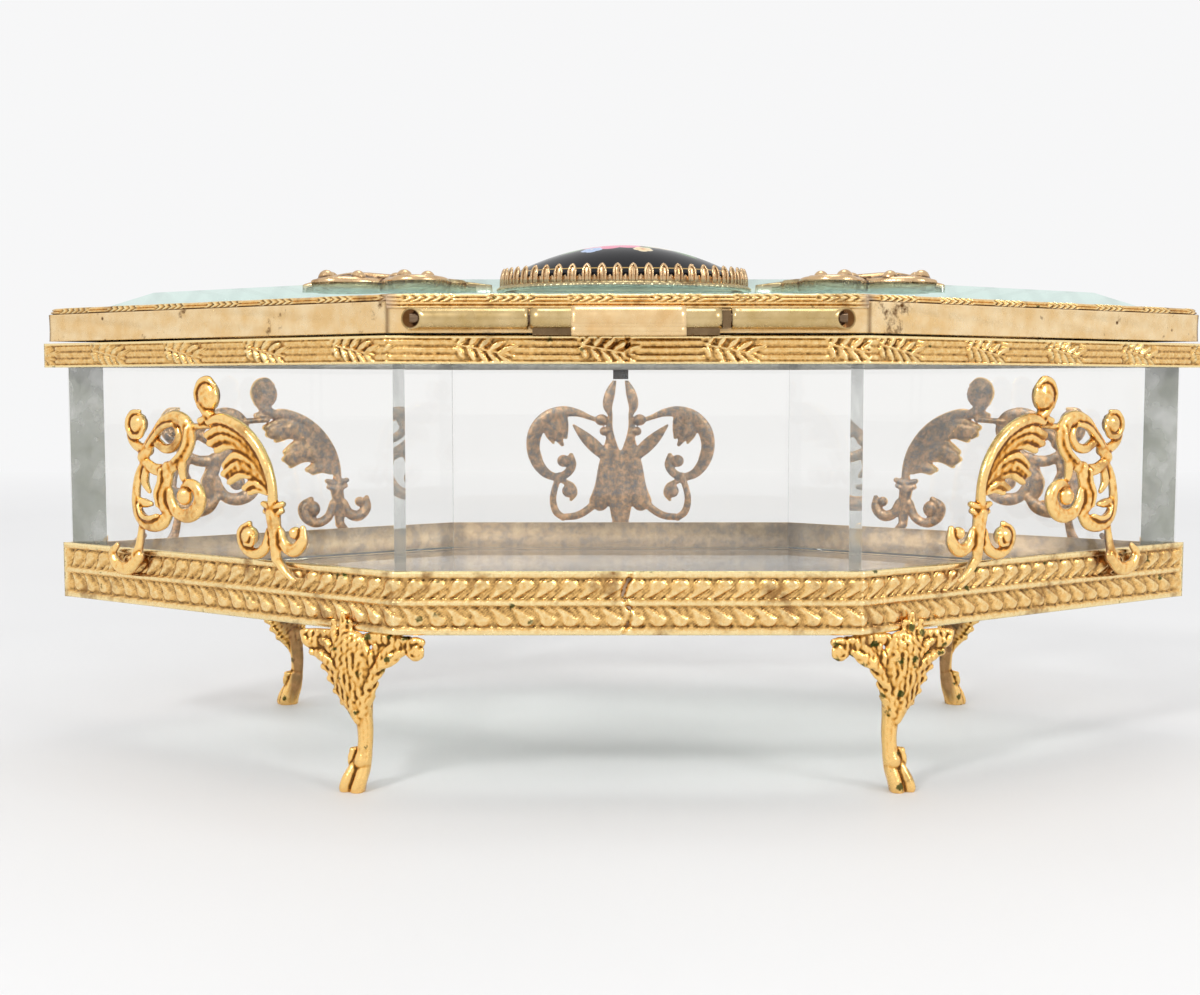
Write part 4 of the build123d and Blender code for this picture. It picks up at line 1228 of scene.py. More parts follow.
@dataclass(frozen=True)
class PalmetteCasting:
    """Openwork palmette at the front, its right half drawn and mirrored."""

    voxel: float = 0.2
    half_depth: float = 1.2
    narrow: float = 0.97

    def half(self) -> list[Mesh]:
        """Limbs of the right half."""
        return [
            limb([(4.6, 4.4), (3.6, 8.6), (3.0, 12.4), (2.4, 16.2)], [4.2, 4.2, 4.0, 2.8], 0.5, 0.1),
            limb([(6.4, 4.6), (5.0, 7.8), (4.2, 11.4), (3.5, 14.6), (2.9, 18.0)], [1.5, 1.8, 1.8, 1.6, 1.0], 0.8, 0.4),
            limb([(1.0, 1.0), (1.6, 6.0), (1.4, 10.6), (1.0, 14.8)], [2.2, 2.6, 2.6, 1.8], 0.6, 0.2),
            limb([(1.2, 15.2), (2.2, 18.0), (2.5, 21.0), (2.3, 23.2), (2.9, 25.6), (2.3, 28.4), (1.3, 31.0)],
                 [2.2, 2.2, 1.5, 1.1, 2.3, 2.3, 0.9], 0.7, 0.2),
            limb([(3.6, 14.6), (5.8, 16.6), (8.0, 18.6), (10.6, 21.2)], [2.4, 3.0, 2.5, 0.7], 0.6, 0.0),
            limb([(4.0, 14.8), (6.4, 17.0), (9.2, 19.8)], [0.8, 1.1, 0.6], 0.9, 0.7),
            bead(4.3, 22.4, 0.0, (1.5, 1.3, 1.1)),
            bead(3.7, 19.9, 0.0, (1.1, 1.0, 1.0)),
            limb([(3.4, 21.9), (6.6, 22.8), (9.6, 23.9), (12.8, 24.2), (16.4, 23.0), (19.0, 20.2), (19.8, 16.8),
                  (19.0, 13.4), (17.0, 10.8), (14.6, 9.9), (12.2, 10.6), (10.9, 12.6), (11.2, 14.6)],
                 [1.3, 1.2, 1.8, 2.6, 3.2, 3.4, 3.2, 2.9, 2.3, 1.8, 2.0, 2.0, 1.3], 0.5, 0.1),
            limb([(12.0, 24.2), (15.8, 22.8), (18.2, 20.0), (18.9, 16.8), (18.0, 13.8)], [0.7, 1.0, 1.1, 1.1, 0.8], 0.9, 0.7),
            bead(12.9, 13.4, 0.1, (1.5, 1.4, 1.1)),
            limb([(15.2, 22.6), (14.8, 20.0), (13.2, 17.0)], [2.2, 2.8, 1.0], 0.6, 0.1),
            limb([(12.9, 23.4), (12.7, 21.0), (12.4, 18.6)], [1.9, 2.0, 1.0], 0.7, 0.2),
            limb([(16.6, 21.6), (16.4, 19.4), (15.2, 17.4)], [1.4, 1.6, 0.8], 0.7, 0.3),
            limb([(13.8, 10.2), (14.8, 7.6), (15.3, 4.8), (14.6, 2.2), (13.0, 0.9)], [1.5, 1.5, 1.6, 1.7, 1.5], 0.7, 0.0),
            bead(11.8, 6.8, 0.1, (1.5, 1.5, 1.1)),
            limb([(13.6, 9.2), (12.4, 8.7), (10.8, 7.8), (10.3, 6.2), (11.2, 4.9)], [1.2, 1.3, 1.3, 1.2, 0.9], 0.8, 0.3),
            limb([(5.2, 5.0), (7.0, 3.0), (9.8, 1.4), (13.0, 1.0)], [1.9, 1.8, 1.7, 1.5], 0.7, 0.0),
        ]

    def build(self, finish: bpy.types.Material) -> None:
        """Makes the casting in place of front_palmette."""
        half = self.half()
        other = [(points * np.array([-1.0, 1.0, 1.0]), faces[:, ::-1]) for points, faces in half]
        foot = [limb([(0, -2.0), (0, 3.6)], [4.2, 3.2], 0.55, 0.0), limb([(-2.0, -1.2), (2.0, -1.2)], [2, 2], 1.1, 0.0),
                limb([(0, 3.0), (0, 9.0), (0, 15.0)], [2.4, 2.4, 1.6], 0.7, 0.0)]
        points, faces = fused("palmette", half + other + foot, self.voxel)
        points[:, 0] *= self.narrow
        points[:, 2] = points[:, 2].clip(-self.half_depth, self.half_depth + 0.3)
        points[:, 1] = points[:, 1].clip(-2.2, 31.0)
        origin = (0, PLAN.half_depth + self.half_depth, in_mm("base_frame")[1][2])
        # Back colours on the back: metal never polished, and painted shade on the back seen through the glass.
        patina_and_painted_light = unpolished_and_shaded_back(points[:, 2])
        shape = Place(origin, (-1, 0, 0), (0, 0, 1), (0, 1, 0)).put((points, faces))
        mesh = worn_and_shaded("front_palmette_casting", *shape, patina_and_painted_light)
        dressed("front_palmette_casting", mesh, finish, Body.CASKET, Slot.GILT, "front_palmette")


@dataclass(frozen=True)
class LegCasting:
    """Cast leg: ruffled acanthus knee with two wings, slim shank and cloven hoof, drawn as seen from outside."""

    voxel: float = 0.19
    middle: float = 0.5
    back_x: float = 43.9
    back_turn: float = 12.0
    front_x: float = 68.7
    front_turn: float = 0.0
    drawn_height: float = 25.8
    tongue: float = 3.4
    roughness: float = 0.07

    def knee(self) -> list[Mesh]:
        """Thick body of the knee under ribs that fan out past its edges."""
        ribs = [
            ([(-0.3, 11.6), (-1.5, 12.9), (-3.4, 14.1)], [1.5, 1.6, 0.9]),
            ([(-0.4, 12.2), (-2.3, 14.3), (-4.7, 15.9)], [1.5, 1.7, 0.9]),
            ([(-0.5, 12.9), (-2.9, 15.9), (-5.9, 17.8)], [1.5, 1.8, 0.9]),
            ([(-0.6, 13.8), (-3.4, 17.5), (-7.0, 19.7)], [1.5, 1.9, 1.0]),
            ([(-0.7, 14.8), (-3.6, 19.0), (-7.6, 21.6), (-9.3, 21.9)], [1.5, 1.8, 1.7, 0.9]),
            ([(-0.8, 15.8), (-3.2, 20.4), (-6.4, 23.6), (-8.6, 24.2)], [1.5, 1.8, 1.6, 0.9]),
            ([(-0.6, 16.4), (-2.5, 21.0), (-4.7, 24.8), (-4.9, 27.2)], [1.4, 1.7, 1.6, 1.0]),
            ([(-0.3, 16.6), (-1.6, 21.0), (-3.0, 25.2), (-3.2, 28.4)], [1.4, 1.7, 1.8, 1.2]),
            ([(0.0, 16.2), (-0.7, 20.4), (-1.6, 24.4), (-1.9, 27.2)], [1.4, 1.6, 1.5, 0.9]),
            ([(0.3, 15.6), (0.2, 19.4), (0.3, 22.4), (0.7, 24.2)], [1.4, 1.6, 1.4, 0.8]),
            ([(0.5, 14.8), (1.2, 18.4), (2.1, 21.4), (2.9, 23.6)], [1.4, 1.6, 1.4, 0.8]),
            ([(0.6, 14.2), (1.9, 17.4), (3.5, 20.6), (5.4, 23.2), (8.0, 24.9)], [1.4, 1.6, 1.6, 1.6, 1.1]),
            ([(0.5, 12.6), (1.3, 14.0), (2.3, 15.4)], [1.4, 1.4, 0.8]),
            ([(0.6, 13.4), (1.8, 15.6), (3.0, 17.6)], [1.4, 1.5, 0.8]),
            ([(1.8, 17.2), (3.2, 18.9), (4.2, 19.7)], [1.4, 1.4, 0.8]),
            ([(3.0, 19.8), (5.2, 21.6), (7.8, 22.9)], [1.3, 1.7, 1.3]),
            ([(4.4, 20.6), (5.8, 21.1), (7.0, 21.9)], [1.1, 1.2, 0.8]),
        ]
        shells = [limb(path, widths, 0.8, 1.15 - 0.85 * np.linspace(0, 1, len(path))) for path, widths in ribs]
        tips = [bead(*path[-1], 0.45, (0.62, 0.62, 0.55)) for path, _ in ribs[:12]]
        return shells + tips + [
            limb([(0.2, 11.6), (-0.4, 14.8), (-1.2, 18.6), (-1.8, 22.4)], [3.0, 5.4, 8.0, 7.6], 0.36, 0.5),
            limb([(-2.6, 21.0), (-6.0, 23.0), (-9.8, 24.4)], [5.2, 4.6, 2.6], 0.36, 0.0),
            limb([(-8.0, 23.4), (-10.2, 23.7), (-11.2, 25.0)], [1.8, 2.1, 1.2], 0.8, 0.2),
            limb([(1.4, 19.4), (4.4, 22.4), (8.6, 24.2)], [3.4, 3.8, 2.8], 0.45, 0.0),
            limb([(1.0, 24.6), (4.0, 24.9), (7.6, 24.6)], [2.0, 2.4, 2.0], 0.7, 0.1),
            limb([(-10.6, 24.9), (-6.0, 25.0), (-1.6, 24.8)], [1.6, 2.2, 2.0], 0.7, 0.1),
        ]

    def shells(self) -> list[Mesh]:
        """The knee, the volute, the shank and the hoof with its two toes and spurs."""
        turn = np.linspace(0.3 * np.pi, 2.6 * np.pi, 9)
        reach = np.linspace(1.75, 0.55, 9)
        volute = list(zip(10.2 + reach * np.cos(turn), 23.3 - reach * np.sin(turn - np.pi)))
        return self.knee() + [
            limb(volute, [1.3] * 9, 0.9, 0.2),
            bead(10.2, 23.3, 0.0, (1.3, 1.3, 1.0)),
            limb([(0.2, 14.6), (0.35, 12.4), (0.6, 9.4), (0.6, 6.6), (0.4, 4.8)], [3.4, 3.0, 2.7, 2.6, 3.0], 0.95,
                 [0.1, 0.1, 0.1, 0.4, 0.8]),
            limb([(0.8, 5.4), (0.7, 3.6), (0.4, 1.8), (0.0, 0.4)], [1.8, 2.1, 2.3, 2.4], 1.0, [0.6, 1.1, 1.7, 2.0]),
            limb([(-0.5, 5.0), (-1.2, 3.4), (-1.8, 1.8), (-2.1, 0.6)], [1.6, 1.9, 2.1, 2.1], 1.0, [0.6, 1.3, 2.0, 2.3]),
            limb([(0.3, 5.8), (-0.1, 3.8), (-0.7, 1.8), (-0.9, 0.5)], [3.0, 3.6, 3.9, 4.0], 0.72, [0.1, 0.5, 0.9, 1.2]),
            limb([(-1.0, 6.6), (-1.6, 5.6), (-1.7, 4.6)], [1.0, 1.4, 1.2], 0.9, [0.5, 0.8, 1.0]),
            bead(-1.5, 6.4, 0.6, (0.7, 0.6, 0.7)),
        ]

    def place(self, x: float, turn: float) -> Place:
        """Place of the back left leg or its like: x along the side to the middle, y up, lift outwards."""
        share = (x - PLAN.half_centre) / (PLAN.half_length - PLAN.half_centre)
        y = -PLAN.half_depth * (1 - share)
        angle = PLAN.slant - math.radians(turn)
        along = (math.cos(angle), -math.sin(angle), 0)
        outward = (-math.sin(angle), -math.cos(angle), 0)
        origin = (-x - outward[0] * self.middle, y - outward[1] * self.middle, 0)
        return Place(origin, along, (0, 0, 1), outward)

    def build(self, finish: bpy.types.Material) -> None:
        """Makes the four legs from one drawing."""
        points, faces = fused("leg", self.shells(), self.voxel)
        strip_foot = in_mm("base_frame")[0][2]
        rough = ((points[:, 1] - 11.5) / 3).clip(0.12, 1)
        points[:, 2] += rough * self.roughness * lumps(points, 1.2, 3)
        points[:, 0] += 0.7 * rough * self.roughness * lumps(points, 1.4, 5)
        points[:, 1] *= strip_foot / self.drawn_height
        under = points[:, 2] < 0.55
        points[:, 1] = np.where(under, points[:, 1].clip(0, strip_foot), points[:, 1].clip(0, strip_foot + self.tongue))
        # Back colours on the legs' backs: metal never polished, and partly painted shade.
        patina_and_painted_light = 0.8 * unpolished_and_shaded_back(points[:, 2] + 0.5)
        back = self.place(self.back_x, self.back_turn)
        front = self.place(self.front_x, self.front_turn).flipped(1)
        places = {"leg_back_left": back, "leg_back_right": back.flipped(0),
                  "leg_front_left": front, "leg_front_right": front.flipped(0)}
        for name, place in places.items():
            mesh = worn_and_shaded(name + "_casting", *place.put((points, faces)), patina_and_painted_light)
            dressed(name + "_casting", mesh, finish, Body.CASKET, Slot.GILT, name)


@dataclass(frozen=True)
class LidOrnament:
    """Scroll casting that lies on the lid glass beside the medallion."""

    voxel: float = 0.19
    start: float = 25.2
    stretch: float = 1.06
    skirt: float = 0.6

    def half(self) -> list[Mesh]:
        """Limbs on one side of the casting's middle line."""
        return [
            limb([(5.0, 0.8), (9.6, 3.6), (13.6, 4.9), (17.2, 3.9), (18.8, 1.8)], [1.6, 2.2, 2.6, 2.4, 1.4], 0.9, 0.9),
            bead(16.4, 2.6, 1.2, (1.7, 1.6, 1.7)),
            limb([(7.6, 2.4), (8.2, 6.0), (11.4, 8.7), (15.0, 8.4), (17.0, 6.4)], [1.6, 2.0, 2.4, 2.3, 1.3], 0.9, 1.0),
            bead(14.6, 6.2, 1.4, (1.6, 1.5, 1.8)),
            bead(10.6, 5.6, 1.5, (1.4, 1.3, 1.5)),
            limb([(19.0, 0.7), (23.6, 3.5), (27.8, 4.3), (30.9, 2.9)], [1.8, 2.4, 2.4, 1.3], 0.9, 1.0),
            bead(28.8, 2.4, 1.5, (1.6, 1.5, 1.9)),
            bead(23.2, 2.6, 1.6, (1.5, 1.4, 1.7)),
            limb([(12.0, 1.0), (15.0, 1.2), (18.0, 1.0)], [1.6, 1.9, 1.4], 0.9, 1.3),
            limb([(20.6, 1.2), (25.0, 1.5), (29.8, 0.7)], [1.6, 2.0, 1.0], 0.9, 1.5),
        ]

    def build(self, finish: bpy.types.Material) -> None:
        """Makes both castings in place of the CAD ones."""
        half = self.half()
        other = [(points * np.array([1.0, -1.0, 1.0]), faces[:, ::-1]) for points, faces in half]
        spine = [limb([(0, 0), (4.0, 0), (8.0, 0), (13.0, 0)], [1.4, 1.8, 2.2, 2.8], 0.8, [0.2, 0.6, 1.0, 1.2]),
                 limb([(12.0, 0), (18.0, 0), (25.0, 0), (33.0, 0)], [2.8, 2.6, 3.0, 1.2], 0.9, [1.2, 1.6, 1.7, 0.4])]
        points, faces = fused("lid_ornament", half + other + spine, self.voxel)
        points[:, 0] *= self.stretch
        floor = in_mm("lid_ornament_right")[0][2]
        top = in_mm("lid_ornament_right")[1][2]
        lift = floor + 0.75
        foot = floor - lift + 0.02
        points[:, 2] = np.where(points[:, 2] < self.skirt, foot, points[:, 2].clip(foot, top - lift))
        right = Place((self.start, 0, lift), (1, 0, 0), (0, 1, 0), (0, 0, 1))
        for name, place in {"lid_ornament_right": right, "lid_ornament_left": right.flipped(0)}.items():
            # The skirt at the foot takes the pale back colours: painted light on the underside seen through the lid
            # glass.
            mesh = worn_and_shaded(name + "_casting", *place.put((points, faces)), (points[:, 2] == foot) * 1.0)
            dressed(name + "_casting", mesh, finish, Body.LID, Slot.GILT, name)


# ---------------------------------------------------------------- medallion


@dataclass(frozen=True)
class Bloom:
    """One painted flower: rings of petals about an eye."""

    x: float
    y: float
    radius: float
    petals: int
    outer: tuple
    inner: tuple
    eye: tuple
    turn: float = 0.0
    rings: int = 3

    def paint(self, canvas: np.ndarray, x: np.ndarray, y: np.ndarray) -> np.ndarray:
        """Lays the flower on the canvas.

        Each ring is a rosette whose edge waves with the angle; its colour runs from the inner to the
        outer colour across each petal, with a darker line where two petals meet.

        Args:
            canvas: (n, 3) colours so far.
            x: places along the plaque.
            y: places across it.

        Returns:
            (n, 3) colours with the flower on them.
        """
        far = np.hypot(x - self.x, y - self.y)
        angle = np.arctan2(y - self.y, x - self.x)
        for ring in range(self.rings):
            size = self.radius * (1 - ring / (self.rings + 0.4))
            wave = angle * self.petals / 2 + self.turn + ring * 1.3
            edge = size * (0.80 + 0.20 * np.abs(np.cos(wave)) ** 0.7)
            cover = ((edge - far) / (0.06 * self.radius)).clip(0, 1)
            run = (far / edge.clip(1e-6)).clip(0, 1)
            seam = np.abs(np.cos(wave)) ** 0.4
            shade = (run**1.6 * (0.55 + 0.45 * seam))[:, None]
            colour = np.array(self.inner) * (1 - shade) + np.array(self.outer) * shade
            canvas = canvas * (1 - cover[:, None]) + colour * cover[:, None]
        eye = ((0.16 * self.radius - far) / (0.04 * self.radius)).clip(0, 1)[:, None]
        return canvas * (1 - eye) + np.array(self.eye) * eye


@dataclass(frozen=True)
class Leaf:
    """One painted leaf: a pointed oval with a pale midrib and side veins."""

    x: float
    y: float
    length: float
    angle: float
    colour: tuple = (0.05, 0.16, 0.045)
    vein: tuple = (0.25, 0.36, 0.12)

    def paint(self, canvas: np.ndarray, x: np.ndarray, y: np.ndarray) -> np.ndarray:
        """Lays the leaf on the canvas, from its root at (x, y)."""
        cos, sin = math.cos(self.angle), math.sin(self.angle)
        run = ((x - self.x) * cos + (y - self.y) * sin) / self.length
        off = ((y - self.y) * cos - (x - self.x) * sin) / self.length
        half = 0.26 * np.sin(np.pi * run.clip(0, 1)) ** 0.8
        cover = ((half - np.abs(off)) / 0.03).clip(0, 1)[:, None]
        veins = (np.abs(off) < 0.018) | (np.abs(((run - 1.2 * np.abs(off)) * 7) % 1 - 0.5) < 0.09)
        light = np.where(off > 0, 1.35, 0.8)[:, None]
        colour = np.where(veins[:, None], np.array(self.vein), np.array(self.colour) * light)
        return canvas * (1 - cover) + colour * cover


@dataclass(frozen=True)
class Medallion:
    """Oval domed plaque with painted flowers on black, in a pronged and beaded bezel."""

    rings: int = 150
    sides: int = 400
    wall: float = 0.7
    prongs: int = 52
    prong_height: float = 4.0

    def painting(self, x: np.ndarray, y: np.ndarray, run: np.ndarray) -> np.ndarray:
        """Colours of the plaque: leaves, then a wreath of blooms round a large one, and a thin gold line."""
        canvas = np.tile(np.array([0.010, 0.010, 0.012]), (len(x), 1))
        leaves = [Leaf(2.0, 1.0, 7.5, turn * 0.698 + 0.2) for turn in range(9)]
        leaves += [Leaf(-7.0, -2.5, 6.0, 2.6), Leaf(-7.0, -2.5, 5.5, 3.6), Leaf(8.5, -3.0, 6.0, 5.7),
                   Leaf(9.0, 2.5, 5.5, 0.4), Leaf(-6.5, 4.0, 5.0, 2.0)]
        for leaf in leaves:
            canvas = leaf.paint(canvas, x, y)
        pink, rose, blush = (0.86, 0.30, 0.42), (0.55, 0.06, 0.16), (0.95, 0.62, 0.62)
        cream, ochre, blue, pale = (0.88, 0.80, 0.62), (0.70, 0.42, 0.08), (0.20, 0.32, 0.62), (0.55, 0.66, 0.85)
        blooms = [
            Bloom(-1.6, -1.2, 6.6, 7, pink, rose, (0.35, 0.02, 0.07), 0.3, 5),
            Bloom(6.6, -1.6, 3.4, 6, cream, ochre, (0.45, 0.22, 0.04), 0.0, 3),
            Bloom(3.6, 5.6, 3.0, 5, blush, pink, ochre, 0.8, 3),
            Bloom(-7.6, 2.6, 2.6, 5, pale, blue, cream, 0.4, 2),
            Bloom(-6.0, -6.6, 2.1, 5, pale, blue, cream, 1.1, 2),
            Bloom(10.6, 2.8, 1.9, 5, blush, rose, ochre, 0.2, 2),
            Bloom(3.4, -7.4, 1.9, 5, cream, ochre, rose, 0.9, 2),
        ]
        for bloom in blooms:
            canvas = bloom.paint(canvas, x, y)
        line = (1 - np.abs(run - 0.93) / 0.010).clip(0, 1)[:, None] ** 0.5
        return canvas * (1 - line) + np.array([0.62, 0.40, 0.13]) * line

    def build(self, glaze: bpy.types.Material, finish: bpy.types.Material) -> None:
        """Makes the plaque and its bezel in place of the CAD ones."""
        low, high = in_mm("medallion")
        half_x, half_y = high[0], high[1]
        edge = low[2] + 2.6
        self.plaque(half_x, half_y, low[2] + 0.03, edge, high[2], glaze)
        self.bezel(half_x + 0.1, half_y + 0.1, low[2] + 0.02, finish)

    def plaque(self, half_x: float, half_y: float, foot: float, edge: float, top: float,
               glaze: bpy.types.Material) -> None:
        """Dome over an upright edge: height falls with the square of the share of the way out."""
        run = np.sin(np.linspace(0.001, 1, self.rings) * np.pi / 2)
        turn = np.linspace(0, 2 * np.pi, self.sides, endpoint=False)
        rise = edge + (top - edge) * (1 - run**2)
        shares = np.concatenate([run, [1.0, 0.9, 0.001]])
        heights = np.concatenate([rise, [(edge + foot) / 2, foot, foot]])
        x = half_x * shares[:, None] * np.cos(turn)
        y = half_y * shares[:, None] * np.sin(turn)
        points = np.stack([x, y, heights[:, None] + 0 * x], axis=-1).reshape(-1, 3)
        faces = grid_faces(len(shares), self.sides, wrap_columns=True)
        mesh = as_mesh("medallion_plaque", points, faces)
        if signed_volume(points, faces) < 0:
            mesh.flip_normals()
        colours = self.painting(points[:, 0], points[:, 1], np.repeat(shares, self.sides))
        # The foot and underside are painted pale: unglazed ceramic, and painted light on the unlit underside seen
        # through the lid glass.
        colours[-2 * self.sides:] = (0.86, 0.90, 0.86)
        paint = mesh.attributes.new("paint", "FLOAT_COLOR", "POINT")
        paint.data.foreach_set("color", np.column_stack([colours, np.ones(len(colours))]).ravel().astype(np.float32))
        dressed("medallion_plaque", mesh, glaze, Body.LID, Slot.PLAQUE, "medallion")

    def bezel(self, half_x: float, half_y: float, foot: float, finish: bpy.types.Material) -> None:
        """Oval wall with a toothed edge, a beaded foot and upright looped prongs."""
        turn = np.linspace(0, 2 * np.pi, self.prongs * 12, endpoint=False)
        tooth = np.abs((turn / (2 * np.pi) * self.prongs * 2) % 1 - 0.5) * 2
        top = 1.5 + 0.7 * tooth
        bead_wave = 0.22 * np.abs(np.cos(turn * self.prongs)) ** 0.8
        loop = [(0.0, 0 * top), (self.wall + 0.55 + bead_wave, 0 * top), (self.wall + 0.6 + bead_wave, 0 * top + 0.45),
                (self.wall + 0.25, 0 * top + 0.95), (self.wall, 0 * top + 1.05), (self.wall, top),
                (self.wall - 0.28, top), (self.wall - 0.3, 0 * top + 0.9), (0.0, 0 * top + 0.7)]
        out = np.stack([np.broadcast_to(grow, turn.shape) for grow, _ in loop], axis=1)
        height = foot + np.stack([rise for _, rise in loop], axis=1)
        points = np.stack([(half_x + out) * np.cos(turn)[:, None], (half_y + out) * np.sin(turn)[:, None], height],
                          axis=-1)
        shells = [(points.reshape(-1, 3), grid_faces(len(turn), len(loop), True, True))]
        tip = self.prong_height
        arch = [(-0.60, 0.7), (-0.62, 2.9), (-0.44, tip - 0.5), (0.0, tip), (0.44, tip - 0.5), (0.62, 2.9), (0.60, 0.7)]
        wire = limb(arch, [0.50] * 7, 1.0, 0.0, 6)
        web = limb([(0, 0.8), (0, tip - 0.8)], [1.0, 0.9], 0.25, -0.1, 6)
        for prong in range(self.prongs):
            angle = 2 * math.pi * (prong + 0.5) / self.prongs
            centre = np.array([(half_x + self.wall) * math.cos(angle), (half_y + self.wall) * math.sin(angle)])
            out_way = np.array([math.cos(angle) / half_x, math.sin(angle) / half_y])
            out_way /= np.linalg.norm(out_way)
            side_way = np.array([-out_way[1], out_way[0]])
            for local, faces in (wire, web):
                lean = -0.16 * (local[:, 1] - 2.0).clip(0) ** 1.5
                flat = centre + local[:, :1] * side_way + (local[:, 2] + lean)[:, None] * out_way
                shells.append((np.column_stack([flat, foot + local[:, 1]]), faces[:, ::-1]))
        points, faces = joined(shells)
        # The foot takes the pale back colours: painted light on the underside seen through the lid glass.
        mesh = worn_and_shaded("bezel", points, faces, (points[:, 2] < foot + 0.05) * 1.0)
        dressed("bezel", mesh, finish, Body.LID, Slot.GILT, "medallion_bezel")


# ---------------------------------------------------------------- hinge and catch


@dataclass(frozen=True)
class Hinge:
    """Drawn hinge tubes with slanted ends, a folded strap, and the dark feet under the middle tube, which paint the
    shade of the gap under it.
    """

    sides: int = 48
    strap_wall: float = 0.3
    strap_gap: float = 0.03
    recess: float = 0.25
    foot_back: float = 4.7

    def tube(self, ends: tuple[float, float], slants: tuple[float, float], axis: tuple[float, float],
             radius: float, count: int = 24) -> tuple[Mesh, np.ndarray]:
        """Tube along X whose end faces are slanted and hollowed.

        An end lies at x = end + slant * (y - axis y). Past it the skin turns in to a rim and down
        into a recess.

        Args:
            ends: x of both ends on the axis.
            slants: change of x for each millimetre of y at the ends.
            axis: y and z of the axis.
            radius: outer radius.
            count: places along the tube.

        Returns:
            The shell and its patina mask, 1 in the recesses, where the stain colour paints the shade of a deep tube
            mouth.
        """
        turn = np.linspace(0, 2 * np.pi, self.sides, endpoint=False)
        share = np.linspace(0, 1, count)
        mouth = [(0.02, self.recess), (0.76, self.recess), (0.80, 0.0), (0.96, 0.0)]
        rows = [(0.0, *step) for step in mouth] + [(s, 1.0, 0.0) for s in share]
        rows += [(1.0, *step) for step in reversed(mouth)]
        along, grow, deep = (np.array(column)[:, None] for column in zip(*rows))
        wave = 1 + 0.006 * np.sin(9.0 * along + turn[None, :] * 2)
        y = radius * grow * wave * np.cos(turn)[None, :]
        z = radius * grow * wave * np.sin(turn)[None, :]
        first = ends[0] + slants[0] * y + deep
        last = ends[1] + slants[1] * y - deep
        x = first * (1 - along) + last * along
        points = np.stack([x, y + axis[0], z + axis[1]], axis=-1).reshape(-1, 3)
        # Painted shade: the shallow recesses take the dark stain colour so that the tube mouths read deep.
        dark = np.repeat((grow[:, 0] < 0.9).astype(float), self.sides)
        return (points, grid_faces(len(rows), self.sides, wrap_columns=True)), dark

    def strap_section(self, axis: tuple[float, float], radius: float, foot: float) -> np.ndarray:
        """Section of the strap in y and z: round the tube, folded down the front and curled under its foot."""
        outer = radius + self.strap_gap + self.strap_wall
        turn = np.radians(np.linspace(20, 178, 24))
        wrap = np.column_stack([axis[0] + outer * np.cos(turn), axis[1] + outer * np.sin(turn)])
        drop = axis[1] - foot
        front = axis[0] - outer
        down = [(front - 0.10, -0.22), (front - 0.14, -0.42), (front - 0.02, -0.52), (front - 0.12, -0.62),
                (front - 0.20, -0.80), (front - 0.16, -0.95), (front + 0.02, -1.06), (front + 0.30, -1.08),
                (front + 0.55, -1.0)]
        skin = np.concatenate([wrap, [(y, axis[1] + share * drop) for y, share in down]])
        run = np.gradient(skin, axis=0)
        normal = np.column_stack([-run[:, 1], run[:, 0]]) / np.linalg.norm(run, axis=1, keepdims=True)
        return np.concatenate([skin, (skin + normal * self.strap_wall)[::-1]])

    def block(self, low: tuple, high: tuple) -> Mesh:
        """Six-sided block between two corners."""
        corners = np.array([(x, y, z) for z in (low[2], high[2]) for y in (low[1], high[1]) for x in (low[0], high[0])])
        faces = np.array([[0, 2, 3, 1], [4, 5, 7, 6], [0, 1, 5, 4], [2, 6, 7, 3], [0, 4, 6, 2], [1, 3, 7, 5]])
        return corners, faces

    def build(self, brass: bpy.types.Material, folded: bpy.types.Material, dark: bpy.types.Material) -> None:
        """Makes the tubes, the strap and the feet in place of the CAD ones."""
        low, high = in_mm("hinge_tube_lid_right")
        radius = (high[2] - low[2]) / 2
        axis = ((low[1] + high[1]) / 2, (low[2] + high[2]) / 2)
        for name, body in (("hinge_tube_lid_right", Body.LID), ("hinge_tube_lid_left", Body.LID)):
            left, right = in_mm(name)[0][0], in_mm(name)[1][0]
            ends, slants = ((left, right - radius), (0.0, 1.0)) if left > 0 else ((left + radius, right), (-1.0, 0.0))
            shell, patina_and_painted_light = self.tube(ends, slants, axis, radius)
            dressed(name + "_drawn", worn_and_shaded(name, *shell, patina_and_painted_light), brass, body, Slot.PLAIN, name)
        body_low, body_high = in_mm("hinge_tube_body")
        shell, patina_and_painted_light = self.tube((body_low[0], body_high[0]), (0.0, 0.0), axis, radius)
        dressed("hinge_tube_body_drawn", worn_and_shaded("hinge_tube_body", *shell, patina_and_painted_light), brass, Body.CASKET, Slot.PLAIN,
                "hinge_tube_body")
        strap_low, strap_high = in_mm("hinge_strap")
        rim_top = in_mm("top_rim")[1][2]
        section = self.strap_section(axis, radius, rim_top)
        across = np.linspace(strap_low[0], strap_high[0], 20)
        ring = np.column_stack([np.repeat(across, len(section)), np.tile(section, (len(across), 1))])
        faces = grid_faces(len(across), len(section), wrap_columns=True)
        count = len(section)
        half = count // 2
        left_cap = [[i, i + 1, count - 2 - i, count - 1 - i] for i in range(half - 1)]
        last = (len(across) - 1) * count
        right_cap = [[last + d, last + c, last + b, last + a] for a, b, c, d in left_cap]
        strap = worn_and_shaded("hinge_strap", ring, np.concatenate([faces, left_cap, right_cap]))
        dressed("hinge_strap_folded", strap, folded, Body.CASKET, Slot.PLAIN, "hinge_strap")
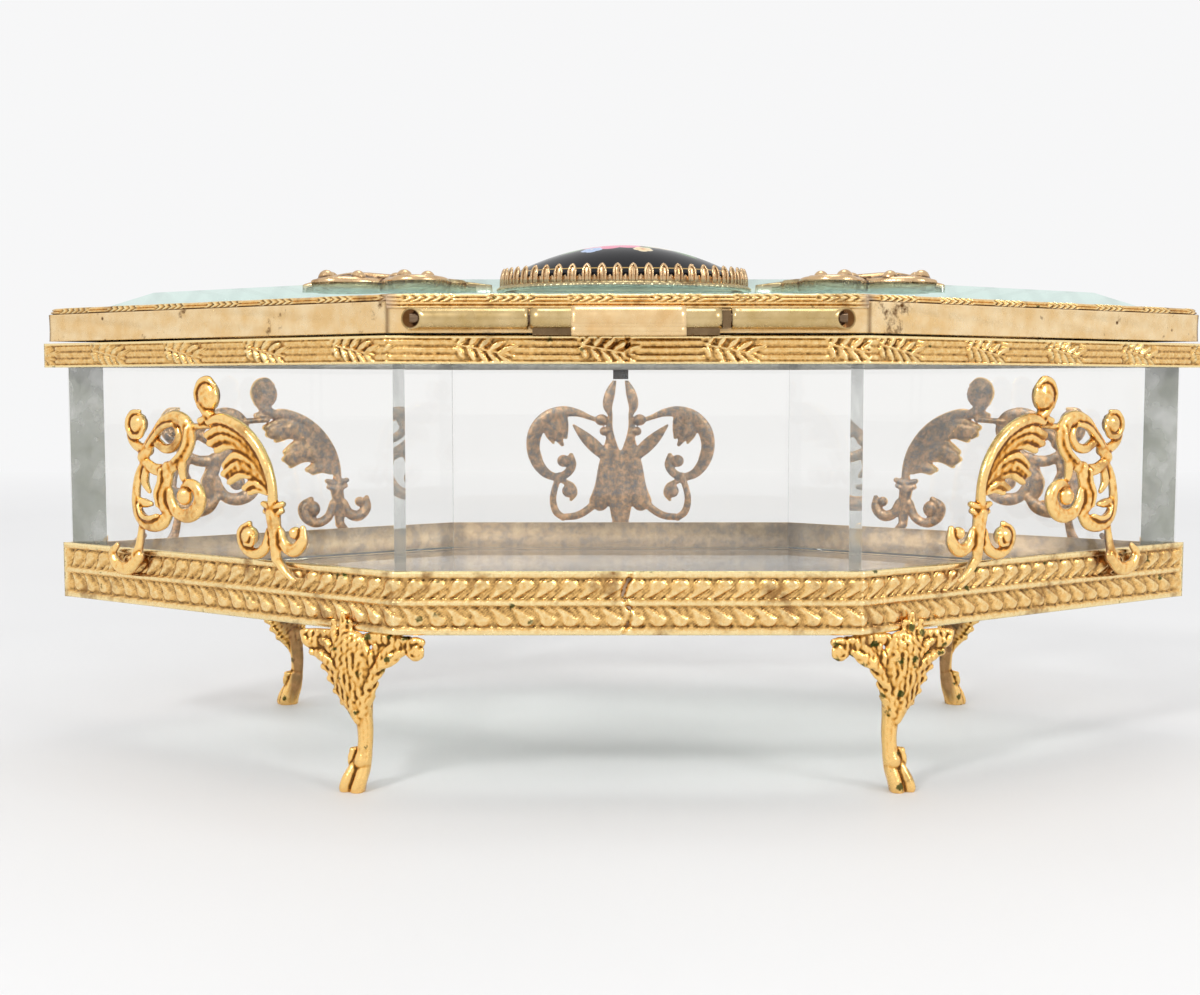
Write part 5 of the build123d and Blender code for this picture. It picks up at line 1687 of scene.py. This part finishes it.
        # Painted shade: the feet are dark blocks in the gap between the middle tube and the rim.
        back = axis[0] + self.foot_back
        feet = [self.block((body_low[0] + 0.3, axis[0] - 0.7, rim_top + 0.02), (strap_low[0] - 0.1, back, axis[1] - 1.2)),
                self.block((strap_high[0] + 0.1, axis[0] - 0.7, rim_top + 0.02), (body_high[0] - 0.3, back, axis[1] - 1.2)),
                self.block((body_high[0] + 0.1, axis[0] - 1.2, axis[1] - 1.5), (body_high[0] + 1.4, axis[0] + 1.0, axis[1] + 1.2))]
        mesh = worn_and_shaded("hinge_feet", *joined(feet))
        mesh.shade_flat()
        dressed("hinge_feet", mesh, dark, Body.CASKET, Slot.PLAIN)


@dataclass(frozen=True)
class Fittings:
    """Hinge pin, catch and thumb tab: the CAD shapes with their own finishes."""

    catch: tuple = ("catch_keeper", "thumb_tab")

    def build(self, dark: bpy.types.Material, steel: bpy.types.Material) -> None:
        """Gives each CAD node its finish."""
        finishes = {name: dark for name in self.catch} | {"hinge_pin": steel}
        for name, finish in finishes.items():
            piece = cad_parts[name]
            piece.data.materials.clear()
            piece.data.materials.append(finish)
            LOG.info("%s keeps its CAD shape", name)


# ---------------------------------------------------------------- stage


@dataclass(frozen=True)
class Studio:
    """Pale floor that curves up behind, soft lamps and the camera."""

    focal_px: float = 1500.0
    frame_width_px: float = 1200.0
    sensor: float = 36.0
    camera_mm: tuple = (-4.5, -285.7, 66.6)
    pitch_deg: float = 4.25

    def floor(self) -> None:
        """Sweep: flat to the front, curving up into a wall behind, worked out from one curve."""
        run = np.linspace(0, 1, 60)
        y = -3.2 + 5.3 * run
        z = np.where(y > 1.2, (y - 1.2) ** 2 * 1.2, 0.0)
        x = np.linspace(-2.6, 2.6, 12)
        points = np.stack([x[None, :] + 0 * y[:, None], y[:, None] + 0 * x, z[:, None] + 0 * x], axis=-1)
        mesh = as_mesh("floor", points.reshape(-1, 3), grid_faces(60, 12)[:, ::-1], scale=1.0)
        tree = Tree("floor_paper")
        shade = tree.ramp(tree.noise(3.0, 3.0), [(0.35, (0.70, 0.70, 0.705)), (0.65, (0.76, 0.76, 0.765))])
        paper = tree.add("BsdfPrincipled", {"Base Color": shade, "Roughness": 0.6})
        path = tree.add("LightPath")
        seen = tree.maths("MAXIMUM", path.outputs["Is Camera Ray"], path.outputs["Is Transmission Ray"])
        seen = tree.maths("MAXIMUM", seen, path.outputs["Is Glossy Ray"])
        along = tree.add("SeparateXYZ", {"Vector": tree.place}).outputs["Y"]
        away = tree.spread(along, 0.05, 0.9)
        glow = tree.add("Emission", {"Color": (0.93, 0.93, 0.935, 1.0), "Strength": 1.0})
        mixed = tree.add("MixShader", {0: tree.maths("MULTIPLY", seen, away), 1: paper.outputs[0], 2: glow.outputs[0]})
        mesh.materials.append(tree.finish(mixed))
        shown("floor", mesh)

    def world(self) -> None:
        """Pale surround, white where it is seen and softer as a light."""
        world = bpy.data.worlds.new("surround")
        bpy.context.scene.world = world
        world.use_nodes = True
        nodes, links = world.node_tree.nodes, world.node_tree.links
        nodes.clear()
        output = nodes.new("ShaderNodeOutputWorld")
        path = nodes.new("ShaderNodeLightPath")
        seen = nodes.new("ShaderNodeMath")
        seen.operation = "MAXIMUM"
        links.new(path.outputs["Is Camera Ray"], seen.inputs[0])
        links.new(path.outputs["Is Transmission Ray"], seen.inputs[1])
        shiny = nodes.new("ShaderNodeMath")
        shiny.operation = "MAXIMUM"
        links.new(seen.outputs[0], shiny.inputs[0])
        links.new(path.outputs["Is Glossy Ray"], shiny.inputs[1])
        light = nodes.new("ShaderNodeBackground")
        light.inputs["Color"].default_value = (0.93, 0.93, 0.93, 1.0)
        light.inputs["Strength"].default_value = 0.96
        white = nodes.new("ShaderNodeBackground")
        white.inputs["Color"].default_value = (0.93, 0.93, 0.935, 1.0)
        mixed = nodes.new("ShaderNodeMixShader")
        links.new(shiny.outputs[0], mixed.inputs[0])
        links.new(light.outputs[0], mixed.inputs[1])
        links.new(white.outputs[0], mixed.inputs[2])
        links.new(mixed.outputs[0], output.inputs["Surface"])

    def lamp(self, name: str, place: tuple, size: float, watts: float) -> None:
        """Square lamp that faces the casket's middle."""
        data = bpy.data.lights.new(name, "AREA")
        data.size = size
        data.energy = watts
        lamp = bpy.data.objects.new(name, data)
        bpy.context.scene.collection.objects.link(lamp)
        direction = np.array([0.0, 0.0, 0.05]) - np.array(place)
        lamp.location = place
        yaw = math.atan2(direction[1], direction[0])
        drop = math.atan2(math.hypot(direction[0], direction[1]), -direction[2])
        lamp.rotation_euler = (drop, 0.0, yaw - math.pi / 2)

    def camera(self) -> None:
        """Camera a little above the hinge side's rim, tipped down."""
        data = bpy.data.cameras.new("camera")
        data.sensor_width = self.sensor
        data.lens = self.focal_px / self.frame_width_px * self.sensor
        data.clip_start = 0.01
        camera = bpy.data.objects.new("camera", data)
        bpy.context.scene.collection.objects.link(camera)
        camera.location = tuple(v * MM for v in self.camera_mm)
        camera.rotation_euler = (math.radians(90.0 - self.pitch_deg), 0.0, 0.0)
        bpy.context.scene.camera = camera

    def build(self) -> None:
        """Sets the whole stage."""
        bpy.context.scene.view_settings.view_transform = "Standard"
        self.camera()
        self.floor()
        self.world()
        self.lamp("key", (-0.40, -0.60, 0.60), 0.12, 2.2)
        self.lamp("fill", (0.60, -0.50, 0.45), 0.18, 1.5)
        self.lamp("top", (0.05, 0.10, 0.90), 0.3, 1.1)


def main() -> None:
    logging.basicConfig(level=logging.INFO)
    stamped = Gilding("stamped_gilt", crest=(1.0, 0.80, 0.42), middle=(0.84, 0.50, 0.17), hollow=(0.07, 0.028, 0.008),
                      back=(0.50, 0.36, 0.24), back_pale=(0.60, 0.44, 0.29), back_grey=(0.36, 0.28, 0.22), verdigris_from=0.53,
                      speck=0.13).build()
    rim = Gilding("rim_gilt", crest=(1.0, 0.80, 0.42), middle=(0.84, 0.50, 0.17), hollow=(0.10, 0.040, 0.010),
                  hollow_at=0.27, dull_from=0.64, back=(0.80, 0.77, 0.72), back_pale=(0.90, 0.87, 0.83),
                  back_grey=(0.66, 0.64, 0.62)).build()
    cast = Gilding("cast_gilt", crest=(1.0, 0.68, 0.27), middle=(0.86, 0.37, 0.062), hollow=(0.19, 0.07, 0.015),
                   hollow_at=0.17, crest_at=0.88, back=(0.50, 0.32, 0.20), back_pale=(0.80, 0.50, 0.29),
                   back_grey=(0.26, 0.23, 0.22), back_scale=800.0, verdigris=0.2, dull=(0.50, 0.23, 0.06),
                   dull_from=0.56, mottle=0.12, smooth=0.12).build()
    leg = Gilding("leg_gilt", crest=(0.98, 0.63, 0.23), middle=(0.78, 0.39, 0.085), hollow=(0.14, 0.06, 0.014),
                  hollow_at=0.12, back=(0.24, 0.12, 0.06), back_pale=(0.34, 0.18, 0.09), back_grey=(0.14, 0.08, 0.05),
                  verdigris_from=0.40, speck=0.17, dull_from=0.60, smooth=0.14, grain=1500.0,
                  grain_depth=0.00014).build()
    # The old gilt's pale greenish back colours are painted light on the undersides of the lid ornaments and the bezel's
    # foot.
    old = Gilding("old_gilt", crest=(0.66, 0.45, 0.25), middle=(0.42, 0.26, 0.13), hollow=(0.08, 0.04, 0.022),
                  back=(0.82, 0.86, 0.80), back_pale=(0.88, 0.92, 0.86), back_grey=(0.74, 0.80, 0.74),
                  back_rough=-0.12, verdigris=0.2).build()
    band = PlainBrass("band_brass").build()
    tube = PlainBrass("tube_brass", base=(0.54, 0.38, 0.16), pale=(0.68, 0.51, 0.26), stain_from=0.68).build()
    # Dark brass for the catch and thumb tab, and painted shade on the hinge feet.
    dark = PlainBrass("dark_brass_and_gap_shade", base=(0.16, 0.10, 0.05), pale=(0.26, 0.17, 0.09)).build()
    steel = PlainBrass("pin_metal", base=(0.14, 0.085, 0.05), pale=(0.24, 0.16, 0.10), stain_from=0.7).build()
    strap = PlainBrass("strap_brass", base=(0.80, 0.52, 0.24), pale=(0.90, 0.66, 0.36)).build()
    wall_glass = ThickGlass("wall_glass", tint=(1.0, 0.995, 0.985), density=4.0, depth_tint=(0.50, 0.62, 0.54, 1.0)).build()
    # The lid glass gets painted reflection bands at a 9 mm pitch.
    lid_glass = ThickGlass("lid_plate_glass", tint=(0.80, 0.93, 0.88), depth_tint=(0.40, 0.80, 0.66, 1.0), density=3.0,
                           index=1.0, coat=0.2, reflection_band_pitch=0.009).build()

    BaseStrip().build(stamped)
    UpperRim().build(rim)
    LidBand().build(band, stamped)
    ground = Cement("ground_edge", colour=(0.36, 0.38, 0.30), alpha=0.5).build()
    GlassBody().build(wall_glass, Cement("joint_cement").build(), ground)
    LidPlate().build(lid_glass)
    ScrollCasting().build(cast)
    PalmetteCasting().build(cast)
    LegCasting().build(leg)
    LidOrnament().build(old)
    Medallion().build(PaintedGlaze("painted_glaze").build(), old)
    Hinge().build(tube, strap, dark)
    Fittings().build(dark, steel)
    Studio().build()


if __name__ == "__main__":
    main()
